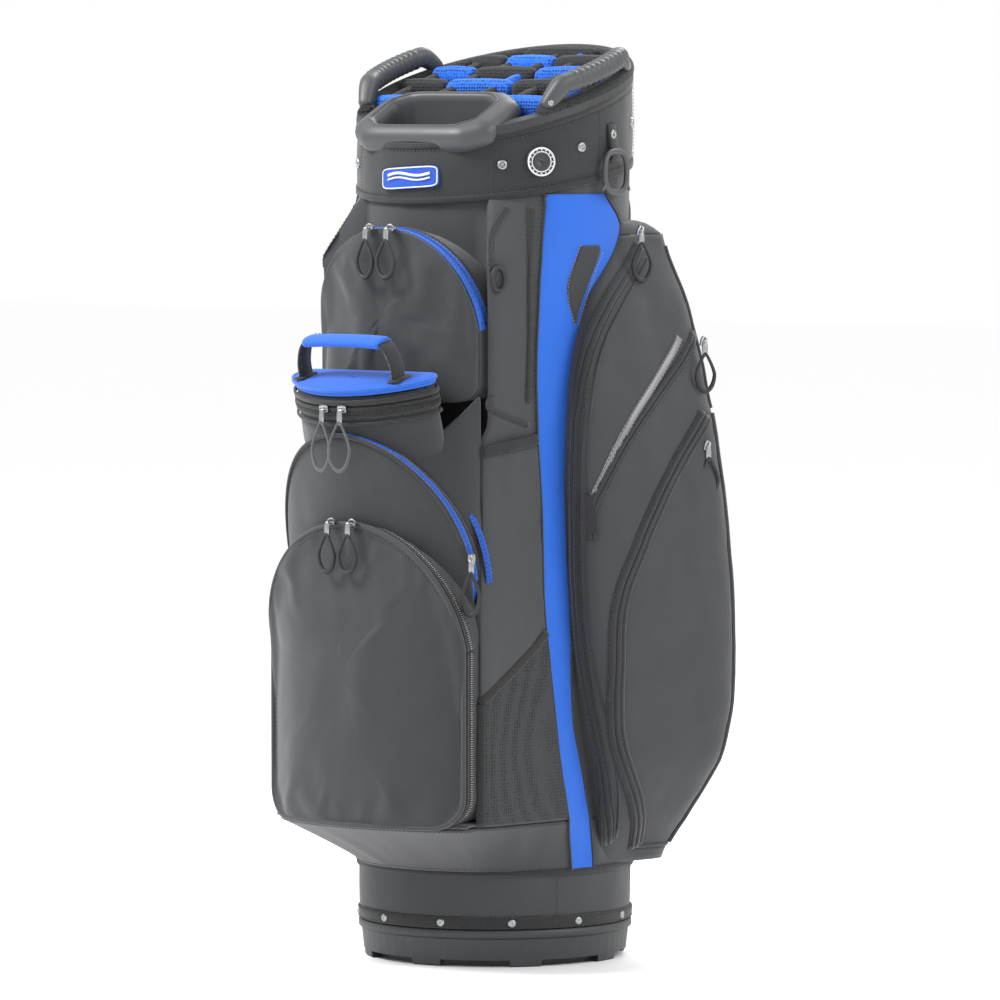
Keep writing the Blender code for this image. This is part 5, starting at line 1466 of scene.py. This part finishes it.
def make_dividers():
    """The grid between the clubs: padded rolls of blue and black mesh on deep walls."""
    limit = RING_R - 0.0003 - 0.009 * 0.8
    lines = []
    for index, (front, back, count) in enumerate(ROWS_OF_SLOTS):
        half = sqrt(limit ** 2 - max(abs(front), abs(back)) ** 2)
        lines.append(("cross", index, -sqrt(RING_R ** 2 - front ** 2), front,
                      sqrt(RING_R ** 2 - front ** 2), front))
        for k in range(1, count):
            x = -half + 2 * half * k / count
            lines.append(("part%d" % k, index, x, front + 0.004, x, back - 0.004))
        for word, x in (("left", -half), ("right", half)):
            lines.append(("side_" + word, index, x, front + 0.002, x, back - 0.002))
    lines.append(("cross", 4, -0.045, 0.111, 0.045, 0.111))
    for word, index, x0, y0, x1, y1 in lines:
        start, end = Vector((x0, y0, 0.0)), Vector((x1, y1, 0.0))
        if word == "cross":
            splits = ((0.0, 0.24), (0.24, 0.58), (0.58, 1.0)) if index < 4 else ((0.0, 1.0),)
            for k, (first, last) in enumerate(splits):
                finish = MESH_BLUE if (k + index) % 2 == 0 and index < 4 else MESH_BLACK
                divider_roll("divider_cross_%d_%d" % (index, k), start.lerp(end, first + 0.004),
                             start.lerp(end, last - 0.004), 0.0098, 0.0120, finish)
        else:
            finish = MESH_BLUE if word == "part2" and index in (1, 3) or word == "side_right" else MESH_BLACK
            divider_roll("divider_%s_%d" % (word, index), start, end, 0.0062, 0.0075, finish)
    for sheet_index in (1, 2, 3):
        paint("divider_sheet_%d" % sheet_index, MESH_BLACK)
    paint("barrel_liner", CLOTH_DARK)
    for node in ("stay_left", "stay_right"):
        paint(node, PLASTIC_DARK)


# ---------------------------------------------------------------- putter well and lift handles
WELL_FRAME = Matrix.Translation((0.0, -0.098, 0.846)) @ Matrix.Rotation(radians(27), 4, "X")


def well_loop(half_width, half_depth, height, drop=0.0):
    """The well's outline at a height above its tilted mouth: long sides and rounded, cut corners."""
    cut = 0.42 * half_depth
    wide = 1.35 * cut
    corners = ((half_width - wide, -half_depth), (half_width, -half_depth + cut),
               (half_width, half_depth - cut),
               (half_width - wide, half_depth), (-half_width + wide, half_depth),
               (-half_width, half_depth - cut),
               (-half_width, -half_depth + cut), (-half_width + wide, -half_depth))
    loop = []
    for k in range(len(corners)):
        here, before, after = (Vector(corners[(k + j) % 8]) for j in (0, -1, 1))
        start, end = here.lerp(before, 0.20), here.lerp(after, 0.20)
        for j in range(6):
            t = j / 5
            loop.append(start * (1 - t) ** 2 + here * 2 * t * (1 - t) + end * t * t)
        far = here.lerp(after, 0.80)
        loop += [end.lerp(far, j / 6) for j in range(1, 6)]
    return [WELL_FRAME @ Vector((p.x, p.y, height)) + Vector((0, 0, -drop)) for p in loop]


def make_well():
    """The moulded putter well: a thick soft lip and a smooth cup."""
    rows = [well_loop(*level) for level in (
        (0.058, 0.026, -0.017, 0.110), (0.0600, 0.0280, -0.017, 0.060), (0.0610, 0.0290, -0.012),
        (0.0620, 0.0300, -0.006), (0.0640, 0.0315, -0.0012), (0.0665, 0.0335, 0.0012),
        (0.0700, 0.0360, 0.0016),
        (0.0760, 0.0402, 0.0002), (0.0810, 0.0438, -0.0022), (0.0842, 0.0462, -0.0052),
        (0.0860, 0.0476, -0.0095),
        (0.0865, 0.0480, -0.0150), (0.0855, 0.0472, -0.0210), (0.0820, 0.0446, -0.0245),
        (0.0740, 0.0395, -0.0255),
        (0.0640, 0.0320, -0.0235, 0.010))]
    well = grid_piece("well_lip", rows, closed=True)
    dress(well, PLASTIC, "root", "putter_well")
    foot = well_loop(0.058, 0.026, -0.017, 0.108)
    centre = sum(foot, Vector()) / len(foot)
    floor_rows = [[centre + (p - centre) * share for p in foot] for share in (0.02, 0.5, 1.0)]
    dress(thicken(grid_piece("well_floor", floor_rows, closed=True), 0.003), PLASTIC)
    shelf = [well_loop(0.0670, 0.0345, 0.0012), well_loop(0.0678, 0.0350, 0.0021),
             well_loop(0.0686, 0.0355, 0.0012)]
    dress(thicken(grid_piece("well_bead", shelf, closed=True), 0.0004), PLASTIC)


def handle_line(side, steps=72):
    """The lift handle's centre line over the rim."""
    path = []
    for k in range(steps + 1):
        share = k / steps
        turn = radians(60 + 56 * share)
        rise = 0.018 * min(1.0, sin(pi * share) * 2.2) ** 0.85
        place = around(turn, 0.131, 0.0)
        path.append(Vector((place.x * side, place.y, rim_z(place.y) + 0.0133 + rise)))
    return path


def make_lift_handle(side, word):
    """A ribbed, moulded grip over the rim, with flared ends screwed to the ring."""
    path = handle_line(side)
    outs = [Vector((0.0, -0.2, 1.0)).normalized()] * len(path)
    section = []
    for k in range(20):
        turn = 2 * pi * k / 20
        shape = (abs(cos(turn)) ** 3 + abs(sin(turn)) ** 3) ** (-1 / 3)
        section.append((0.0090 * cos(turn) * shape, 0.0098 * sin(turn) * shape))
    scale = []
    for k in range(len(path)):
        share = k / (len(path) - 1)
        end = min(share, 1 - share)
        size = 0.62 + 0.38 * min(1.0, end / 0.12) ** 0.6
        if 0.24 < share < 0.80:
            size *= 1.0 + 0.055 * (1 if sin((share - 0.24) / 0.56 * 2 * pi * 10) > -0.1 else -0.6)
        scale.append(size)
    grip = sweep("lift_grip_" + word, path, outs, section, scale=scale)
    dress(grip, PLASTIC, "root", "lift_handle_" + word)
    seats = []
    for k in (2, len(path) - 3):
        place = path[k]
        out = Vector((place.x, place.y, 0)).normalized()
        seats.append((place + out * 0.0062, out))
    make_discs("lift_screws_" + word, seats, 0.0032, 0.0016, STEEL)


# ---------------------------------------------------------------- towel ring
def make_towel_ring():
    """A moulded ring with two short horns, hung from a stitched tab."""
    low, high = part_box("towel_ring")
    middle = (low + high) / 2
    angle = atan2(middle.x, -middle.y)
    out, along = around(angle, 1.0, 0.0), around(angle + pi / 2, 1.0, 0.0)
    centre = Vector((0.5 * (low.x + high.x), 0.5 * (low.y + high.y), low.z + 0.024))
    loop, scale = [], []
    for k in range(60):
        turn = 2 * pi * k / 60
        shape = 1.0 + 0.05 * cos(4 * turn + pi)
        loop.append(centre + along * cos(turn) * 0.0205 * shape
                    + Vector((0, 0, 1)) * sin(turn) * 0.0215 * shape)
        scale.append(1.0 + 0.30 * max(0.0, -sin(turn)) ** 4)
    ring = sweep("towel_ring_loop", loop, [out] * 60, circle(0.0031, 12, 0.8), closed=True, scale=scale)
    dress(ring, PLASTIC, "towel_ring", "towel_ring")
    for side in (-1, 1):
        start = centre + along * side * 0.0175 + Vector((0, 0, -0.0120))
        tip = start + along * side * 0.0075 + Vector((0, 0, -0.0060))
        path = [start.lerp(tip, k / 5) for k in range(6)]
        horn = sweep("towel_ring_horn_" + ("right" if side > 0 else "left"), path, [out] * 6,
                     circle(0.0026, 10, 0.8), scale=[1.0, 1.0, 0.95, 0.85, 0.7, 0.45])
        dress(horn, PLASTIC, "towel_ring")
    low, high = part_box("towel_tab")
    top = around(angle, CUFF_R + 0.0005, high.z + 0.004)
    path = smooth_path([top, around(angle, CUFF_R + 0.0032, high.z - 0.010),
                        around(angle, CUFF_R + 0.0060, low.z + 0.004),
                        around(angle, CUFF_R + 0.0045, low.z - 0.001),
                        around(angle, CUFF_R + 0.0006, low.z + 0.0035)])
    tab = sweep("towel_tab_loop", path, [out] * len(path), band(0.014, 0.0016))
    dress(tab, TAPE_BLACK, "root", "towel_tab")
    make_discs("towel_tab_snap", [(around(angle, CUFF_R + 0.0030, high.z - 0.006), out)], 0.0048, 0.0024,
               STEEL, 0.3)


# ---------------------------------------------------------------- back
def make_back():
    """The quilted back pad and the padded shoulder strap with its anchors."""
    low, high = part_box("back_pad")
    columns, lines = 36, 110
    rows = []
    for k in range(lines + 1):
        height = low.z + (high.z - low.z) * k / lines
        row = []
        for j in range(columns + 1):
            across = -1 + 2 * j / columns
            x = high.x * across
            edge = 1 - abs(across) ** 10
            rim = min(1.0, min(k, lines - k) / 5)
            quilt = ((height - low.z) / (high.z - low.z) * 7) % 1
            channel = min(quilt, 1 - quilt)
            puff = 0.0050 * min(1.0, channel * 5) ** 0.5 * edge
            wall = sqrt(max(SKIN_R ** 2 - x ** 2, 0.0))
            y = wall + (high.y - 0.006 - wall) * min(edge ** 0.5, rim ** 0.5) + puff
            row.append(rumple(Vector((x, y, height)), Vector((0, 1, 0)), 0.0014 * edge, 0.04, 23.0))
        rows.append(row[::-1])
    pad = thicken(grid_piece("back_pad_cloth", rows), 0.0020, refine=1)
    dress(pad, MESH_BLACK, "root", "back_pad")
    for side in (-1, 1):
        path = [Vector((side * (high.x - 0.0002), sqrt(SKIN_R ** 2 - high.x ** 2) + 0.0015,
                        low.z + 0.004 + 0.03 * k))
                for k in range(int((high.z - low.z) / 0.03))]
        outs = [Vector((side * 0.4, 0.9, 0.0)).normalized()] * len(path)
        dress(sweep("back_pad_cord_" + ("right" if side > 0 else "left"), path, outs, circle(0.0026)),
              PIPING)
    strap_low, strap_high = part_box("shoulder_strap")
    half = strap_high.x
    path, outs, scale = [], [], []
    for k in range(61):
        share = k / 60
        sag = 0.028 * sin(pi * share) ** 0.8 if 0 < k < 60 else 0.0
        path.append(Vector((0.0, 0.1605 + sag, strap_low.z + (strap_high.z - strap_low.z) * share)))
        scale.append(0.62 + 0.38 * min(1.0, sin(pi * share) * 1.8))
    for k, place in enumerate(path):
        ahead, behind = path[min(k + 1, 60)], path[max(k - 1, 0)]
        direction = (ahead - behind).normalized()
        outs.append(Vector((0.0, direction.z, -direction.y)))
    section = [(half * 0.98 * a, 0.0045 * b) for a, b in
               ((-1, -0.3), (-0.85, -0.95), (-0.3, -1.0), (0.3, -1.0), (0.85, -0.95), (1, -0.3), (1, 0.3),
                (0.85, 0.9), (0.45, 1.0), (0.0, 0.85), (-0.45, 1.0), (-0.85, 0.9), (-1, 0.3))]
    strap = sweep("shoulder_strap_pad", path, outs, section, scale=scale)
    dress(strap, CLOTH_DARK, "root", "shoulder_strap")
    for edge in (-1, 1):
        shift = [p + Vector((edge * half * 0.80 * size, 0, 0)) for p, size in zip(path, scale)]
        dress(sweep("strap_edge_" + "ab"[edge > 0], shift, outs,
                    [(a, b + 0.0038) for a, b in band(0.006, 0.0012)]),
              TAPE_BLACK)
        stitches("strap_seam_" + "ab"[edge > 0], shift, outs, THREAD, "root", 0.0, lift=0.0050)
    for node in ("strap_anchor_lower", "strap_anchor_upper"):
        low_a, high_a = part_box(node)
        middle = (low_a + high_a) / 2
        loop = []
        for k in range(48):
            turn = 2 * pi * k / 48
            shape = (abs(cos(turn)) ** 5 + abs(sin(turn)) ** 5) ** (-1 / 5)
            loop.append(Vector((middle.x + (high_a.x - 0.003) * cos(turn) * shape, high_a.y - 0.0022,
                                middle.z + (high_a.z - middle.z - 0.002) * sin(turn) * shape)))
        buckle = sweep(node + "_buckle", loop, [Vector((0, 1, 0))] * 48, circle(0.0024, 10), closed=True)
        dress(buckle, STEEL, "root", node)
        path = [Vector((0.0, middle.y - 0.0010, middle.z + dz)) for dz in (-0.030, 0.0, 0.030)]
        dress(sweep(node + "_web", path, [Vector((0, 1, 0))] * 3, band(0.036, 0.0018)), TAPE_BLACK)


# ---------------------------------------------------------------- sliders, pulls and the grommet
def pull_places(top, down, across, length, half_width):
    """A rounded drop that hangs from a place, and how thick it is along the way."""
    loop, scale = [], []
    for k in range(40):
        turn = 2 * pi * k / 40
        fall = (1 - cos(turn)) / 2
        wide = half_width * (0.30 + 0.70 * min(1.0, fall * 1.8) ** 0.8)
        loop.append(top + across * sin(turn) * wide + down * length * fall)
        scale.append(0.80 + 0.50 * fall ** 2)
    return loop, scale


def make_pull(name, top, out, body, length=0.044, half_width=0.0105, finish=None, thick=0.0020):
    """A zip pull for the node of this name: a metal tab with a rubber loop, thicker at its foot."""
    out = Vector((out.x, out.y, 0.0)).normalized()
    across, down = Vector((0, 0, 1)).cross(out).normalized(), Vector((0, 0, -1))
    loop, scale = pull_places(top + down * 0.012 + out * 0.0012, down, across, length - 0.012, half_width)
    ring = sweep(name + "_loop", loop, [out] * 40, circle(thick, 8), closed=True, scale=scale)
    dress(ring, finish or RUBBER, body, name)
    path = [top + down * 0.0010 * k for k in range(16)]
    width = [0.75 + 0.35 * sin(pi * k / 15) for k in range(16)]
    dress(sweep(name + "_tab", path, [out] * 16, band(0.0056, 0.0013), scale=width), STEEL, body)


def make_slider(name, place, out, along, body, node=None):
    """A zip slider: a waisted body with a bridge that holds the pull."""
    points, faces = [], []
    side = along.cross(out).normalized()
    for rise in (0.0, 0.0030):
        for a, b in ((-0.0052, -0.0030), (-0.0052, 0.0030), (0.0, 0.0040), (0.0052, 0.0034),
                     (0.0052, -0.0034),
                     (0.0, -0.0040)):
            points.append(place + along * a + side * b + out * rise)
    faces += [(0, 1, 2, 3, 4, 5)[::-1], (6, 7, 8, 9, 10, 11)]
    faces += [(k, (k + 1) % 6, 6 + (k + 1) % 6, 6 + k) for k in range(6)]
    item = new_object(name + "_body", points, faces, smooth=False)
    soft = item.modifiers.new("soft", "BEVEL")
    soft.width = 0.0009
    soft.segments = 2
    dress(item, STEEL, body)
    if node:
        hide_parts(node)
    bridge = [place + along * 0.0040 * cos(pi * k / 8) + out * (0.0028 + 0.0026 * sin(pi * k / 8))
              for k in range(9)]
    dress(sweep(name + "_bridge", bridge, [side] * 9, circle(0.0008, 8)), STEEL, body)


def make_arch_pulls(pouch, stem):
    """The two sliders at the top of an arched zip, each with its hanging pull."""
    for side, word in ((1, "right"), (-1, "left")):
        node = "%s_slider_%s" % (stem, word)
        low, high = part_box(node)
        middle = (low + high) / 2
        turn = atan2(middle.x, pouch.half_width)
        out = Vector((sin(turn), -0.35, cos(turn))).normalized()
        along = Vector((cos(turn), 0.0, -sin(turn)))
        make_slider(node, middle + Vector((0, 0.0010, 0.0005)), out, along, node, node)
        pull = "%s_pull_%s" % (stem, word)
        low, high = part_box(pull)
        top = Vector(((low.x + high.x) / 2, (low.y + high.y) / 2 - 0.0012, high.z + 0.001))
        make_pull(pull, top, Vector((0.06 * side, -1, 0)), pull, high.z - low.z)


def make_other_pulls():
    """The cooler's corded pulls and those of the side pockets and the cooler pocket."""
    for side, word in ((1, "right"), (-1, "left")):
        node = "cooler_slider_" + word
        low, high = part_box(node)
        frame_turn = COOLER_PLACE.to_3x3()
        top = Vector(((low.x + high.x) / 2, low.y + 0.0008, high.z))
        out = frame_turn @ Vector((0.10 * side, -1, 0))
        make_pull(node, top, out, node, 0.060, 0.0125, CORD_GREY, 0.0014)
        make_slider(node, top + Vector((0, 0.0050, 0.001)), out.normalized(), Vector((1, 0, 0)), node)
        for stem in ("main", "valuables", "pocket"):
            node = "%s_slider_%s" % (stem, word)
            low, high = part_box(node)
            middle = (low + high) / 2
            outward = Vector((side, -0.45, 0.0)).normalized()
            top = Vector((middle.x, middle.y, high.z)) + outward * 0.0016
            make_pull(node, top, outward, node, high.z - low.z)
            make_slider(node, top - outward * 0.0040, outward, Vector((0, -0.4, -0.9)).normalized(), node)
    node = "cooler_pocket_slider"
    low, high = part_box(node)
    top = Vector(((low.x + high.x) / 2, (low.y + high.y) / 2, high.z))
    make_pull(node, top, Vector((0.5, -1, 0)), node, high.z - low.z, 0.0085)
    make_slider(node, top + Vector((-0.002, 0.003, 0.001)), Vector((0.7, -0.7, 0)).normalized(),
                Vector((0, 0, 1)), node)


def make_grommet():
    """The oval rubber grommet in the shoulder, with a dark cloth disc across its opening as painted shade.
    """
    low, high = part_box("grommet")
    middle = (low + high) / 2
    out = Vector((0.85, -0.35, 0.0)).normalized()
    across = Vector((0, 0, 1)).cross(out).normalized()
    loop = [middle + across * cos(2 * pi * k / 40) * 0.0068
            + Vector((0, 0, 1)) * sin(2 * pi * k / 40) * 0.0115
            + out * 0.0006 for k in range(40)]
    ring = sweep("grommet_rim", loop, [out] * 40, circle(0.0024, 10), closed=True)
    dress(ring, RUBBER, "root", "grommet")
    # Painted shade: a dark disc fills the hole and stands in for the shade inside it.
    hub = [[middle + (place - middle) * share for place in loop] for share in (1.0, 0.5, 0.02)]
    dress(thicken(grid_piece("grommet_inside", hub, closed=True), 0.001), CLOTH_DARK)


def make_patch(side, word):
    """A plain dark pennant with tan stitching, high on the stripe."""
    surface = BODY[side]
    left = surface.seen_knots(((0.0770, 0.6350), (0.0700, 0.6720), (0.0830, 0.7130)), 0.2, 2.1)
    right = surface.seen_knots(((0.0780, 0.6350), (0.0900, 0.6720), (0.1030, 0.7070)), 0.2, 2.1)
    lay_patch("patch_" + word, surface, (left, right + [(right[-1][0] + 0.004, 0.7130)]), CLOTH_DARK, "root",
              0.0012, 8, 0.0014)
    for edge, knots, shift in (("front", left, 0.0016), ("back", right, -0.0016)):
        path, outs = surface.path(knots, 0.0030, 10)
        stitches("patch_seam_%s_%s" % (edge, word), path, outs, TAN_THREAD, "root", shift * -side, 0.0034,
                 0.0010)


def dress_plain_nodes():
    """Give each CAD node that still shows a procedural material of its own kind."""
    finishes = {"body_fabric": CLOTH_BODY, "panel_fabric": CLOTH_PANEL, "black_fabric": CLOTH_CUFF,
                "black_mesh": MESH_BLACK, "moulded_plastic": PLASTIC_DARK, "liner_plastic": PLASTIC_DARK,
                "accent_fabric": CLOTH_BLUE, "zip_metal": STEEL, "rubber": RUBBER}
    for item in NODES.values():
        for slot in item.material_slots:
            stem = slot.material.name.split(".")[0] if slot.material else ""
            if stem in finishes:
                slot.material = finishes[stem]


# ---------------------------------------------------------------- the bag
add_camera()
add_studio()
make_body()
make_skirt()
for side, word in ((1, "right"), (-1, "left")):
    make_stripe(side, word)
    make_patch(side, word)
    make_shoulder_details(side, word)
    make_small_pockets(side, word)
    make_side_pocket(side, word)
    make_side_details(side, word)
    make_lift_handle(side, word)
make_ball_pocket()
make_top_pocket()
make_flap()
make_cooler()
make_barrel_shade()
make_pocket_floor()
make_base()
make_cuff()
make_badge()
make_rim()
make_dividers()
make_well()
make_towel_ring()
make_back()
make_arch_pulls(BALL, "ball")
make_arch_pulls(TOP, "top")
make_other_pulls()
make_grommet()
dress_plain_nodes()
